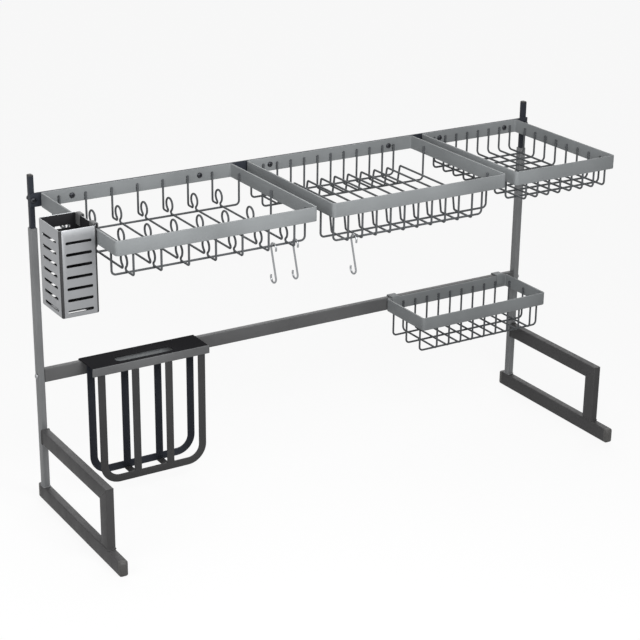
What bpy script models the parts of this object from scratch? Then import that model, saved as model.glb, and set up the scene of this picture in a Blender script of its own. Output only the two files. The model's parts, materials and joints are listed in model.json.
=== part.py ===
"""A two-tier dish rack that stands over a sink.

Lengths are in metres and +Z is up. X runs along the rack and the front faces -Y. The pieces are placed
in the rack's own coordinates: X is zero midway between the posts, Y is zero at the rear faces of the
lower posts and Z is zero at the counter. An empty moves them so that the scene's origin is at the middle
of the bottom of the whole rack.
"""

import math

import bmesh
import bpy
from mathutils import Matrix, Vector

# Fits between pieces
SEAT_GAP = 0.0003
PLUG_CLEARANCE = 0.0003
CUT_OVERRUN = 0.002
WELD_SINK = 0.0009

# Overall width over the posts, and the heights that the photograph gives
POST_SPAN = 0.850
RACK_RIM_TOP = 0.467
POST_ABOVE_RIMS = 0.025
POST_JOINT_BELOW_RIMS = 0.031
CROSSBAR_TOP = 0.206
FOOT_RAIL_TOP = 0.114

# Foot frames: rectangular tube, lying with its large side upright
FOOT_TUBE_WIDTH = 0.012
FOOT_TUBE_HEIGHT = 0.022
FOOT_TUBE_WALL = 0.0012
FOOT_REACH = 0.230
BASE_FRONT_OVERHANG = 0.031
BASE_REAR_OVERHANG = 0.003
BASE_CAP_LENGTH = 0.009
BASE_CAP_ROUND = 0.004
BASE_CAP_PLUG = 0.014
BEVEL_STEPS = 2

# Posts
POST_WIDTH = 0.010
POST_DEPTH = 0.012
POST_WALL = 0.0012
POST_PLUG_LENGTH = 0.040
UPPER_POST_WALL = 0.001
POST_CAP_HEIGHT = 0.002
POST_CAP_PLUG = 0.008

# Rear rail and crossbar
RAIL_THICKNESS = 0.003
RAIL_HEIGHT = 0.020
RAIL_END_MARGIN = 0.001
CROSSBAR_HEIGHT = 0.020
CROSSBAR_DEPTH = 0.010
CROSSBAR_WALL = 0.0012
CROSSBAR_PLUG_LENGTH = 0.016

# Rims of the three upper racks, from left to right: the plate rack fills what the other two leave
RIM_HEIGHT = 0.020
RIM_THICKNESS = 0.003
RIM_CORNER_RADIUS = 0.005
CORNER_STEPS = 3
RACK_DEPTH = 0.241
LEFT_POST_SPACE = 0.015
BOWL_RACK_LENGTH = 0.296
BOWL_PLATE_SPACE = 0.024
PLATE_FRUIT_SPACE = 0.017
FRUIT_RACK_LENGTH = 0.183
RIGHT_POST_SPACE = 0.025

# Wires
WIRE_RADIUS = 0.0015
WIRE_SIDES_RESOLUTION = 1
WIRE_BEND_RADIUS = 0.006
WIRE_CORNER_RADIUS = 0.003
WIRE_BEND_STEPS = 2
WIRE_WELD_LENGTH = 0.012

# Bowl rack bed
BOWL_BED_DEPTH = 0.031
BOWL_WIRE_PITCH = 0.0394
BOWL_FIRST_WIRE = 0.0258
BOWL_HUMP_RADIUS = 0.0095
BOWL_HUMP_NECK = 0.0045
BOWL_HUMP_FOOT_RADIUS = 0.0025
BOWL_HUMP_STEPS = 6
BOWL_HUMP_FOOT_STEPS = 2
BOWL_HUMP_COUNT = 3
BOWL_FRONT_HUMP = 0.033
BOWL_REAR_HUMP = 0.024

# Plate rack bed
PLATE_BED_DEPTH = 0.037
PLATE_WIRE_PITCH = 0.023
PLATE_FIRST_WIRE = 0.027
PLATE_BED_END_SPACE = 0.0372
PLATE_TOE = 0.047
PLATE_HUMP_HEIGHT = 0.030
PLATE_HUMP_LEAN = 0.006
PLATE_LONG_SPACE = 0.007

# Fruit rack bed
FRUIT_BED_DEPTH = 0.025
FRUIT_WIRE_PITCH = 0.0208
FRUIT_FIRST_WIRE = 0.023
FRUIT_LONG_COUNT = 8
FRUIT_FRONT_LONG = 0.029
FRUIT_REAR_LONG = 0.030

# Screws and nuts
SCREW_RADIUS = 0.002
SCREW_HOLE_CLEARANCE = 0.0004
SCREW_HEAD_RADIUS = 0.004
SCREW_HEAD_HEIGHT = 0.0022
SCREW_HEAD_ROUND = 0.0008
SCREW_STEPS = 12
NUT_RADIUS = 0.004
NUT_HEIGHT = 0.0032
NUT_SIDES = 6
SCREW_END = 0.0008
CROSSBAR_SCREW_REACH = 0.012

# Chopstick holder
HOLDER_WIDTH = 0.052
HOLDER_DEPTH = 0.067
HOLDER_HEIGHT = 0.119
HOLDER_SHEET = 0.001
HOLDER_RISE = 0.006
HOLDER_FRONT_SPACE = 0.0551
HOLDER_SLOT_COUNT = 7
HOLDER_SLOT_HEIGHT = 0.004
HOLDER_FIRST_SLOT = 0.016
HOLDER_LAST_SLOT = 0.0066
HOLDER_FRONT_SLOT_LENGTH = 0.036
HOLDER_SIDE_SLOT_LENGTH = 0.044
HOLDER_DRAIN_COUNT = 3
HOLDER_DRAIN_PITCH = 0.016
HOLDER_DRAIN_WIDTH = 0.005
HOLDER_DRAIN_LENGTH = 0.030
HOLDER_HOOK_WIDTH = 0.012
HOLDER_HOOK_THICKNESS = 0.0013
HOLDER_HOOK_DROP = 0.016
HOLDER_HOOK_INSET = 0.006

# Knife holder
KNIFE_POST_SPACE = 0.066
KNIFE_LENGTH = 0.186
KNIFE_FRONT = 0.052
KNIFE_SHEET = 0.002
KNIFE_BAR_HEIGHT = 0.0125
KNIFE_BAR_THICKNESS = 0.0025
KNIFE_LIP_HEIGHT = 0.016
KNIFE_SLOT_INSET = 0.043
KNIFE_SLOT_LENGTH = 0.092
KNIFE_SLOT_WIDTH = 0.018
KNIFE_LOOP_MARGIN = 0.0075
KNIFE_LOOP_BOTTOM = 0.024
KNIFE_LOOP_STRIP = 0.0115
KNIFE_LOOP_RADIUS = 0.030
KNIFE_LOOP_STEPS = 6
KNIFE_MIDDLE_BARS = 2
KNIFE_STRAP_THICKNESS = 0.002

# Soap caddy
CADDY_POST_SPACE = 0.026
CADDY_LENGTH = 0.236
CADDY_DEPTH = 0.103
CADDY_BED_DEPTH = 0.036
CADDY_WIRE_PITCH = 0.0226
CADDY_FIRST_WIRE = 0.0301
CADDY_LONG_COUNT = 3
CADDY_LONG_INSET = 0.010
CADDY_HOOK_WIDTH = 0.014
CADDY_HOOK_INSET = 0.0155
CADDY_HOOK_THICKNESS = 0.002
CADDY_HOOK_DROP = 0.016

# Utensil hooks
HOOK_WIRE_RADIUS = 0.0014
HOOK_LENGTH = 0.056
HOOK_BEND_RADIUS = 0.0068
HOOK_BEND_STEPS = 9
HOOK_MOUTH_DEGREES = 200.0
BOWL_END_HOOK_SPACE = 0.0143
PLATE_HOOK_SPACE = 0.011

# Shares, and the settings of the shapes
HALF_SHARE = 0.5
MERGE_DISTANCE = 0.00002
SMOOTH_ANGLE = math.radians(50)


def copies(first, pitch, last):
    """How many copies of a pattern fit from its first place to the last place that has room."""
    return 1 + int((last - first) / pitch)


# Sizes that follow from the ones above
POST_TOP = RACK_RIM_TOP + POST_ABOVE_RIMS
POST_JOINT_HEIGHT = RACK_RIM_TOP - RIM_HEIGHT - POST_JOINT_BELOW_RIMS
UPPER_POST_WIDTH = POST_WIDTH - 2 * POST_WALL - 2 * PLUG_CLEARANCE
UPPER_POST_DEPTH = POST_DEPTH - 2 * POST_WALL - 2 * PLUG_CLEARANCE
UPPER_POST_REAR = -POST_WALL - PLUG_CLEARANCE
UPPER_POST_FRONT = UPPER_POST_REAR - UPPER_POST_DEPTH
RAIL_REAR = UPPER_POST_FRONT - SEAT_GAP
RAIL_FRONT = RAIL_REAR - RAIL_THICKNESS
RACK_REAR = RAIL_FRONT - SEAT_GAP
RACK_FRONT = RACK_REAR - RACK_DEPTH
RIM_BOTTOM = RACK_RIM_TOP - RIM_HEIGHT
WIRE_INSET = RIM_THICKNESS + SEAT_GAP + WIRE_RADIUS
WIRE_TOP = RIM_BOTTOM + WIRE_WELD_LENGTH
WIRE_STACK = 2 * WIRE_RADIUS - WELD_SINK
WIRE_NEST = WIRE_CORNER_RADIUS - (WIRE_CORNER_RADIUS - WIRE_STACK) * math.sqrt(HALF_SHARE)
BOWL_RACK_LEFT = -POST_SPAN / 2 + LEFT_POST_SPACE
FRUIT_RACK_LEFT = POST_SPAN / 2 - RIGHT_POST_SPACE - FRUIT_RACK_LENGTH
PLATE_RACK_LEFT = BOWL_RACK_LEFT + BOWL_RACK_LENGTH + BOWL_PLATE_SPACE
PLATE_RACK_LENGTH = FRUIT_RACK_LEFT - PLATE_FRUIT_SPACE - PLATE_RACK_LEFT
WIRE_END_SPACE = WIRE_INSET + WIRE_BEND_RADIUS + WIRE_RADIUS
BOWL_WIRE_COUNT = copies(BOWL_FIRST_WIRE, BOWL_WIRE_PITCH, BOWL_RACK_LENGTH - WIRE_END_SPACE)
BOWL_HUMP_PITCH = (RACK_DEPTH - BOWL_FRONT_HUMP - BOWL_REAR_HUMP) / (BOWL_HUMP_COUNT - 1)
PLATE_BED_RIGHT = PLATE_RACK_LENGTH - PLATE_BED_END_SPACE
PLATE_LAST_SPACE = PLATE_WIRE_PITCH / 2 + SCREW_HEAD_RADIUS + SEAT_GAP + WIRE_RADIUS
PLATE_WIRE_COUNT = copies(PLATE_FIRST_WIRE, PLATE_WIRE_PITCH, PLATE_BED_RIGHT - PLATE_LAST_SPACE)
FRUIT_WIRE_COUNT = copies(FRUIT_FIRST_WIRE, FRUIT_WIRE_PITCH, FRUIT_RACK_LENGTH - WIRE_END_SPACE)
FRUIT_LONG_PITCH = (RACK_DEPTH - FRUIT_FRONT_LONG - FRUIT_REAR_LONG) / (FRUIT_LONG_COUNT - 1)
CADDY_HOOK_SPACE = CADDY_HOOK_INSET + CADDY_HOOK_WIDTH / 2 + SEAT_GAP + WIRE_RADIUS
CADDY_WIRE_COUNT = copies(CADDY_FIRST_WIRE, CADDY_WIRE_PITCH, CADDY_LENGTH - CADDY_HOOK_SPACE)
CADDY_LEFT = POST_SPAN / 2 - CADDY_POST_SPACE - CADDY_LENGTH
KNIFE_LEFT = -POST_SPAN / 2 + KNIFE_POST_SPACE
HOLDER_SLOTS_HEIGHT = HOLDER_HEIGHT - HOLDER_FIRST_SLOT - HOLDER_LAST_SLOT - HOLDER_SLOT_HEIGHT
HOLDER_SLOT_PITCH = HOLDER_SLOTS_HEIGHT / (HOLDER_SLOT_COUNT - 1)
BASE_FRONT = -FOOT_REACH - BASE_FRONT_OVERHANG
BASE_REAR = BASE_REAR_OVERHANG
CROSSBAR_FRONT = -POST_DEPTH
CROSSBAR_REAR = CROSSBAR_FRONT + CROSSBAR_DEPTH
CROSSBAR_BOTTOM = CROSSBAR_TOP - CROSSBAR_HEIGHT
HOLDER_RIGHT = BOWL_RACK_LEFT - SEAT_GAP
HOLDER_LEFT = HOLDER_RIGHT - HOLDER_WIDTH
HOLDER_TOP = RACK_RIM_TOP + HOLDER_RISE
HOLDER_BOTTOM = HOLDER_TOP - HOLDER_HEIGHT
SCREW_HEAD_REACH = SEAT_GAP + SCREW_HEAD_HEIGHT
BOX_LEFT = HOLDER_LEFT
BOX_RIGHT = POST_SPAN / 2 + SCREW_HEAD_REACH
BOX_FRONT = BASE_FRONT - BASE_CAP_LENGTH
BOX_REAR = BASE_REAR + BASE_CAP_LENGTH

X_AXIS = Vector((1, 0, 0))
Y_AXIS = Vector((0, 1, 0))
Z_AXIS = Vector((0, 0, 1))


def clear_scene():
    for obj in list(bpy.data.objects):
        bpy.data.objects.remove(obj)


def new_collection(name):
    collection = bpy.data.collections.new(name)
    bpy.context.scene.collection.children.link(collection)
    return collection


def new_material(name, colour, roughness, metallic):
    material = bpy.data.materials.new(name)
    material.use_nodes = True
    shader = material.node_tree.nodes["Principled BSDF"]
    shader.inputs["Base Color"].default_value = (*colour, 1.0)
    shader.inputs["Roughness"].default_value = roughness
    shader.inputs["Metallic"].default_value = metallic
    material.diffuse_color = (*colour, 1.0)
    return material


def new_empty(name, place, parent=None):
    empty = bpy.data.objects.new(name, None)
    PARTS.objects.link(empty)
    empty.location = place
    empty.parent = parent
    return empty


def add_part(name, mesh, place, parent, material):
    """An object of the rack, at a place in its parent's coordinates."""
    part = bpy.data.objects.new(name, mesh)
    PARTS.objects.link(part)
    part.location = Vector(place) - PARENT_PLACES[parent.name]
    part.parent = parent
    mesh.materials.append(material)
    return part


def add_cutter(name, mesh, place, parent):
    """A shape that only cuts or joins: it is drawn as wire and never rendered."""
    cutter = bpy.data.objects.new(name, mesh)
    CUTTERS.objects.link(cutter)
    cutter.location = Vector(place) - PARENT_PLACES[parent.name]
    cutter.parent = parent
    cutter.display_type = "WIRE"
    cutter.hide_render = True
    return cutter


def moving_parent(name, place):
    """An empty on a joint's axis, which the moving pieces hang from."""
    empty = new_empty(name, place, RACK)
    PARENT_PLACES[name] = Vector(place)
    return empty


def mesh_of(name, work):
    mesh = bpy.data.meshes.new(name)
    bmesh.ops.recalc_face_normals(work, faces=work.faces)
    work.to_mesh(mesh)
    work.free()
    return mesh


def box_mesh(name, boxes):
    """One mesh of separate boxes, each given by two opposite corners."""
    work = bmesh.new()
    for low, high in boxes:
        low, high = Vector(low), Vector(high)
        made = bmesh.ops.create_cube(work, size=1)
        size = high - low
        bmesh.ops.scale(work, vec=size, verts=made["verts"])
        bmesh.ops.translate(work, vec=(low + high) / 2, verts=made["verts"])
    return mesh_of(name, work)


def cylinder_mesh(name, rods, sides):
    """One mesh of separate cylinders, each given by its two end points and its radius."""
    work = bmesh.new()
    for start, end, radius in rods:
        start, end = Vector(start), Vector(end)
        turn = Z_AXIS.rotation_difference(end - start).to_matrix().to_4x4()
        bmesh.ops.create_cone(
            work,
            cap_ends=True,
            segments=sides,
            radius1=radius,
            radius2=radius,
            depth=(end - start).length,
            matrix=Matrix.Translation((start + end) / 2) @ turn,
        )
    return mesh_of(name, work)


def centred(low, high):
    """The middle of a box and its corners seen from there."""
    low, high = Vector(low), Vector(high)
    middle = (low + high) / 2
    return middle, (low - middle, high - middle)


def add_block(name, low, high, parent, material):
    middle, corners = centred(low, high)
    return add_part(name, box_mesh(name, [corners]), middle, parent, material)


def boolean(part, other, operation="DIFFERENCE"):
    modifier = part.modifiers.new(other.name, "BOOLEAN")
    modifier.operation = operation
    modifier.solver = "EXACT"
    modifier.object = other


def cut_boxes(part, name, boxes, parent):
    """Cuts boxes out of a part: their corners are in the rack's coordinates."""
    middle, _ = centred(*boxes[0])
    local = [(Vector(low) - middle, Vector(high) - middle) for low, high in boxes]
    boolean(part, add_cutter(name, box_mesh(name, local), middle, parent))


def cut_rods(part, name, rods, parent, sides=SCREW_STEPS):
    """Drills round holes into a part: the ends of the rods are in the rack's coordinates."""
    middle = Vector(rods[0][0])
    local = [(Vector(start) - middle, Vector(end) - middle, radius) for start, end, radius in rods]
    boolean(part, add_cutter(name, cylinder_mesh(name, local, sides), middle, parent))


def hollow_tube(name, low, high, axis, wall, parent, material):
    """A rectangular tube, open at both ends along one axis (0 is X, 1 is Y, 2 is Z)."""
    tube = add_block(name, low, high, parent, material)
    inner_low = [value + wall for value in low]
    inner_high = [value - wall for value in high]
    inner_low[axis] = low[axis] - CUT_OVERRUN
    inner_high[axis] = high[axis] + CUT_OVERRUN
    cut_boxes(tube, name + "_bore", [(inner_low, inner_high)], parent)
    return tube


def mesh_from_curve(name, curve):
    """The mesh of a curve with its caps welded on."""
    guide = bpy.data.objects.new(name + "_guide", curve)
    bpy.context.scene.collection.objects.link(guide)
    graph = bpy.context.evaluated_depsgraph_get()
    mesh = bpy.data.meshes.new_from_object(guide.evaluated_get(graph))
    mesh.name = name
    bpy.data.objects.remove(guide)
    work = bmesh.new()
    work.from_mesh(mesh)
    bmesh.ops.remove_doubles(work, verts=work.verts, dist=MERGE_DISTANCE)
    bmesh.ops.recalc_face_normals(work, faces=work.faces)
    work.to_mesh(mesh)
    work.free()
    return mesh


def plate_mesh(name, outlines, thickness):
    """A flat plate: the first outline is its edge and the others are its holes. It lies in XY."""
    curve = bpy.data.curves.new(name, "CURVE")
    curve.dimensions = "2D"
    curve.fill_mode = "BOTH"
    curve.extrude = thickness / 2
    for outline in outlines:
        spline = curve.splines.new("POLY")
        spline.points.add(len(outline) - 1)
        for point, (x, y) in zip(spline.points, outline):
            point.co = (x, y, 0, 1)
        spline.use_cyclic_u = True
    return mesh_from_curve(name, curve)


def wire_mesh(name, paths, radius):
    """One mesh of separate round wires, each along its own list of points."""
    curve = bpy.data.curves.new(name, "CURVE")
    curve.dimensions = "3D"
    curve.bevel_depth = radius
    curve.bevel_resolution = WIRE_SIDES_RESOLUTION
    curve.use_fill_caps = True
    for path in paths:
        spline = curve.splines.new("POLY")
        spline.points.add(len(path) - 1)
        for point, place in zip(spline.points, path):
            point.co = (*place, 1)
    mesh = mesh_from_curve(name, curve)
    mesh.shade_smooth()
    mesh.set_sharp_from_angle(angle=SMOOTH_ANGLE)
    return mesh


def arc_points(centre, radius, start, end, steps):
    """Points of an arc in a plane, from one angle to another, both ends included."""
    points = []
    for step in range(steps + 1):
        angle = start + (end - start) * step / steps
        points.append((centre[0] + radius * math.cos(angle), centre[1] + radius * math.sin(angle)))
    return points


def rounded_path(corners, radius, steps):
    """A path through corners in space, with an arc of one radius at each inner corner."""
    corners = [Vector(corner) for corner in corners]
    path = [corners[0]]
    for before, corner, after in zip(corners, corners[1:], corners[2:]):
        back = (before - corner).normalized()
        ahead = (after - corner).normalized()
        half_angle = back.angle(ahead) / 2
        reach = radius / math.tan(half_angle)
        middle = corner + (back + ahead).normalized() * (radius / math.sin(half_angle))
        start = corner + back * reach - middle
        end = corner + ahead * reach - middle
        axis = start.cross(end).normalized()
        sweep = start.angle(end)
        for step in range(steps + 1):
            path.append(middle + Matrix.Rotation(sweep * step / steps, 3, axis) @ start)
    path.append(corners[-1])
    return path


def rounded_rectangle(low, high, radius, steps):
    """The outline of a rectangle with round corners."""
    outline = []
    turns = ((high[0], high[1], 0), (low[0], high[1], 1), (low[0], low[1], 2), (high[0], low[1], 3))
    for corner_x, corner_y, quarter in turns:
        centre_x = corner_x - math.copysign(radius, corner_x - (low[0] + high[0]) / 2)
        centre_y = corner_y - math.copysign(radius, corner_y - (low[1] + high[1]) / 2)
        start = quarter * math.pi / 2
        outline += arc_points((centre_x, centre_y), radius, start, start + math.pi / 2, steps)
    return outline


def turned_mesh(name, profile, steps):
    """A round piece: its profile of (radius, height) points is turned about Z."""
    work = bmesh.new()
    points = [work.verts.new((radius, 0, height)) for radius, height in profile]
    edges = [work.edges.new(pair) for pair in zip(points, points[1:])]
    bmesh.ops.spin(
        work,
        geom=points + edges,
        axis=Z_AXIS,
        cent=(0, 0, 0),
        angle=2 * math.pi,
        steps=steps,
        use_merge=True,
    )
    bmesh.ops.remove_doubles(work, verts=work.verts, dist=MERGE_DISTANCE)
    mesh = mesh_of(name, work)
    mesh.shade_smooth()
    mesh.set_sharp_from_angle(angle=SMOOTH_ANGLE)
    return mesh


def add_screw(name, seat, direction, length, parent):
    """A pan-head screw: seat is the middle of the face under its head, and it points along direction."""
    seat, direction = Vector(seat), Vector(direction)
    top = SCREW_HEAD_HEIGHT
    profile = [
        (0, top),
        (SCREW_HEAD_RADIUS - SCREW_HEAD_ROUND, top),
        (SCREW_HEAD_RADIUS, top - SCREW_HEAD_ROUND),
        (SCREW_HEAD_RADIUS, 0),
        (SCREW_RADIUS, 0),
        (SCREW_RADIUS, -length),
        (0, -length),
    ]
    screw = add_part(name, turned_mesh(name, profile, SCREW_STEPS), seat, parent, STEEL)
    screw.rotation_mode = "QUATERNION"
    screw.rotation_quaternion = Z_AXIS.rotation_difference(-direction)
    return screw


def add_nut(name, face, direction, parent):
    """A hexagon nut with its bore: face is the middle of the side that it bears with."""
    face, direction = Vector(face), Vector(direction)
    end = direction * NUT_HEIGHT
    nut = add_part(
        name, cylinder_mesh(name, [((0, 0, 0), end, NUT_RADIUS)], NUT_SIDES), face, parent, STEEL
    )
    overrun = direction * CUT_OVERRUN
    hole = SCREW_RADIUS + SCREW_HOLE_CLEARANCE
    cut_rods(nut, name + "_bore", [(face - overrun, face + end + overrun, hole)], parent)
    return nut


def drill(part, name, start, end, parent):
    """A clearance hole for a screw through a part."""
    start, end = Vector(start), Vector(end)
    overrun = (end - start).normalized() * CUT_OVERRUN
    hole = SCREW_RADIUS + SCREW_HOLE_CLEARANCE
    cut_rods(part, name, [(start - overrun, end + overrun, hole)], parent)


def mirrored(side, low, high):
    """A box on the left side frame as it is, or mirrored to the right one."""
    if side < 0:
        return list(low), list(high)
    return [-high[0], low[1], low[2]], [-low[0], high[1], high[2]]


def build_side_frame(side, word):
    """One foot frame of four welded tubes with its end caps, and its post in two lengths."""
    outer = -POST_SPAN / 2
    foot_inner = outer + FOOT_TUBE_WIDTH
    tube = FOOT_TUBE_HEIGHT

    low, high = mirrored(side, (outer, BASE_FRONT, 0), (foot_inner, BASE_REAR, tube))
    hollow_tube(word + "_base_bar", low, high, 1, FOOT_TUBE_WALL, RACK, PAINT)

    post_low = (outer, -POST_DEPTH, tube + SEAT_GAP)
    post_high = (outer + POST_WIDTH, 0, POST_JOINT_HEIGHT)
    low, high = mirrored(side, post_low, post_high)
    post = hollow_tube(word + "_lower_post", low, high, 2, POST_WALL, RACK, PAINT)

    corner_front = -FOOT_REACH
    corner_rear = corner_front + tube
    low, high = mirrored(
        side,
        (outer, corner_front, FOOT_RAIL_TOP - tube),
        (foot_inner, -POST_DEPTH - SEAT_GAP, FOOT_RAIL_TOP),
    )
    rail = hollow_tube(word + "_foot_rail", low, high, 1, FOOT_TUBE_WALL, RACK, PAINT)
    mitre(rail, word + "_foot_rail_mitre", corner_front, corner_rear, side, above=True)

    low, high = mirrored(
        side, (outer, corner_front, tube + SEAT_GAP), (foot_inner, corner_rear, FOOT_RAIL_TOP)
    )
    upright = hollow_tube(word + "_front_upright", low, high, 2, FOOT_TUBE_WALL, RACK, PAINT)
    mitre(upright, word + "_front_upright_mitre", corner_front, corner_rear, side, above=False)

    build_base_cap(side, word + "_base_front_cap", BASE_FRONT, -1)
    build_base_cap(side, word + "_base_rear_cap", BASE_REAR, 1)
    build_upper_post(side, word)
    return post


def mitre(tube, name, front, rear, side, above):
    """Cuts the corner of a foot frame at 45 degrees: the rail keeps what is above the cut."""
    size = rear - front
    reach = size + 2 * CUT_OVERRUN
    half_gap = SEAT_GAP / 2
    bottom = FOOT_RAIL_TOP - size
    outer = side * POST_SPAN / 2
    inner = outer - side * FOOT_TUBE_WIDTH
    low_x, high_x = sorted((outer, inner))
    middle = Vector(((low_x + high_x) / 2, (front + rear) / 2, bottom + size / 2))
    work = bmesh.new()
    made = bmesh.ops.create_cube(work, size=1)
    wide = FOOT_TUBE_WIDTH + 2 * CUT_OVERRUN
    bmesh.ops.scale(work, vec=(wide, 2 * reach, 2 * reach), verts=made["verts"])
    shift = half_gap - reach if above else reach - half_gap
    bmesh.ops.translate(work, vec=(0, 0, shift), verts=made["verts"])
    turn = Matrix.Rotation(-math.pi / 4, 3, "X")
    bmesh.ops.rotate(work, cent=(0, 0, 0), matrix=turn, verts=made["verts"])
    boolean(tube, add_cutter(name, mesh_of(name, work), middle, RACK))


def build_base_cap(side, name, end, outward):
    """A moulded cap: a rounded head on the tube's end and a plug inside it."""
    outer = -POST_SPAN / 2
    inner = outer + FOOT_TUBE_WIDTH
    head_near = end + outward * SEAT_GAP
    head_far = end + outward * BASE_CAP_LENGTH
    near, far = sorted((head_near, head_far))
    low, high = mirrored(side, (outer, near, 0), (inner, far, FOOT_TUBE_HEIGHT))
    cap = add_block(name, low, high, RACK, RUBBER)
    bevel_cap_end(cap, outward)
    inset = FOOT_TUBE_WALL + PLUG_CLEARANCE
    plug_end = end - outward * BASE_CAP_PLUG
    plug_near = head_near + outward * WELD_SINK
    near, far = sorted((plug_end, plug_near))
    low, high = mirrored(
        side, (outer + inset, near, inset), (inner - inset, far, FOOT_TUBE_HEIGHT - inset)
    )
    middle, corners = centred(low, high)
    plug_name = name + "_plug"
    boolean(cap, add_cutter(plug_name, box_mesh(plug_name, [corners]), middle, RACK), "UNION")


def bevel_cap_end(cap, outward):
    """Rounds the cap's far end, but for its bottom edge, on which the rack stands."""
    work = bmesh.new()
    work.from_mesh(cap.data)
    far = max(outward * vert.co.y for vert in work.verts)
    bottom = min(vert.co.z for vert in work.verts)
    rounded = []
    for edge in work.edges:
        ends = [vert.co for vert in edge.verts]
        at_end = all(math.isclose(outward * co.y, far, abs_tol=MERGE_DISTANCE) for co in ends)
        at_bottom = all(math.isclose(co.z, bottom, abs_tol=MERGE_DISTANCE) for co in ends)
        if at_end and not at_bottom:
            rounded.append(edge)
    bmesh.ops.bevel(
        work,
        geom=rounded,
        offset=BASE_CAP_ROUND,
        segments=BEVEL_STEPS + 1,
        profile=HALF_SHARE,
        affect="EDGES",
    )
    work.to_mesh(cap.data)
    work.free()


def build_upper_post(side, word):
    """The narrow upper length of a post, plugged into the lower one, with a cap in its top."""
    left = -POST_SPAN / 2 + POST_WALL + PLUG_CLEARANCE
    right = left + UPPER_POST_WIDTH
    low, high = mirrored(
        side,
        (left, UPPER_POST_FRONT, POST_JOINT_HEIGHT - POST_PLUG_LENGTH),
        (right, UPPER_POST_REAR, POST_TOP - POST_CAP_HEIGHT - SEAT_GAP),
    )
    upper = hollow_tube(word + "_upper_post", low, high, 2, UPPER_POST_WALL, RACK, PAINT)
    low, high = mirrored(
        side,
        (left, UPPER_POST_FRONT, POST_TOP - POST_CAP_HEIGHT),
        (right, UPPER_POST_REAR, POST_TOP),
    )
    cap_name = word + "_post_cap"
    cap = add_block(cap_name, low, high, RACK, RUBBER)
    inset = UPPER_POST_WALL + PLUG_CLEARANCE
    low, high = mirrored(
        side,
        (left + inset, UPPER_POST_FRONT + inset, POST_TOP - POST_CAP_HEIGHT - POST_CAP_PLUG),
        (right - inset, UPPER_POST_REAR - inset, POST_TOP - POST_CAP_HEIGHT + WELD_SINK),
    )
    middle, corners = centred(low, high)
    plug_name = cap_name + "_plug"
    boolean(cap, add_cutter(plug_name, box_mesh(plug_name, [corners]), middle, RACK), "UNION")
    post_x = side * (POST_SPAN / 2 - POST_WIDTH / 2)
    rail_height = RACK_RIM_TOP - RAIL_HEIGHT / 2
    drill(
        upper,
        word + "_rail_screw_hole",
        (post_x, UPPER_POST_FRONT, rail_height),
        (post_x, UPPER_POST_REAR, rail_height),
        RACK,
    )
    return upper


def build_rail():
    """The flat bar behind the upper racks, screwed to both upper posts."""
    end = POST_SPAN / 2 - RAIL_END_MARGIN
    rail = add_block(
        "rear_rail",
        (-end, RAIL_FRONT, RACK_RIM_TOP - RAIL_HEIGHT),
        (end, RAIL_REAR, RACK_RIM_TOP),
        RACK,
        PAINT,
    )
    height = RACK_RIM_TOP - RAIL_HEIGHT / 2
    for side, word in SIDES:
        post_x = side * (POST_SPAN / 2 - POST_WIDTH / 2)
        start = (post_x, RAIL_FRONT, height)
        drill(rail, word + "_rail_hole", start, (post_x, RAIL_REAR, height), RACK)
        shank = SEAT_GAP + RAIL_THICKNESS + SEAT_GAP + UPPER_POST_DEPTH
        shank += SEAT_GAP + NUT_HEIGHT + SCREW_END
        add_screw(word + "_rail_screw", (post_x, RAIL_FRONT - SEAT_GAP, height), Y_AXIS, shank, RACK)
        face = (post_x, UPPER_POST_REAR + SEAT_GAP, height)
        add_nut(word + "_rail_nut", face, Y_AXIS, RACK)
    return rail


def build_crossbar(posts):
    """The tube between the lower posts, with a plug and a screw at each end."""
    end = POST_SPAN / 2 - POST_WIDTH - SEAT_GAP
    hollow_tube(
        "crossbar",
        (-end, CROSSBAR_FRONT, CROSSBAR_BOTTOM),
        (end, CROSSBAR_REAR, CROSSBAR_TOP),
        0,
        CROSSBAR_WALL,
        RACK,
        PAINT,
    )
    inset = CROSSBAR_WALL + PLUG_CLEARANCE
    middle_y = (CROSSBAR_FRONT + CROSSBAR_REAR) / 2
    middle_z = (CROSSBAR_BOTTOM + CROSSBAR_TOP) / 2
    for (side, word), post in zip(SIDES, posts):
        low, high = mirrored(
            side,
            (-end, CROSSBAR_FRONT + inset, CROSSBAR_BOTTOM + inset),
            (-end + CROSSBAR_PLUG_LENGTH, CROSSBAR_REAR - inset, CROSSBAR_TOP - inset),
        )
        plug = add_block(word + "_crossbar_plug", low, high, RACK, RUBBER)
        outer = (side * POST_SPAN / 2, middle_y, middle_z)
        inner = (side * (POST_SPAN / 2 - POST_WIDTH), middle_y, middle_z)
        drill(post, word + "_crossbar_screw_hole", outer, inner, RACK)
        tip = (side * (end - CROSSBAR_PLUG_LENGTH), middle_y, middle_z)
        drill(plug, word + "_plug_screw_hole", inner, tip, RACK)
        seat = (side * (POST_SPAN / 2 + SEAT_GAP), middle_y, middle_z)
        length = POST_WIDTH + SEAT_GAP + CROSSBAR_SCREW_REACH
        add_screw(word + "_crossbar_screw", seat, -side * X_AXIS, length, RACK)


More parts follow.
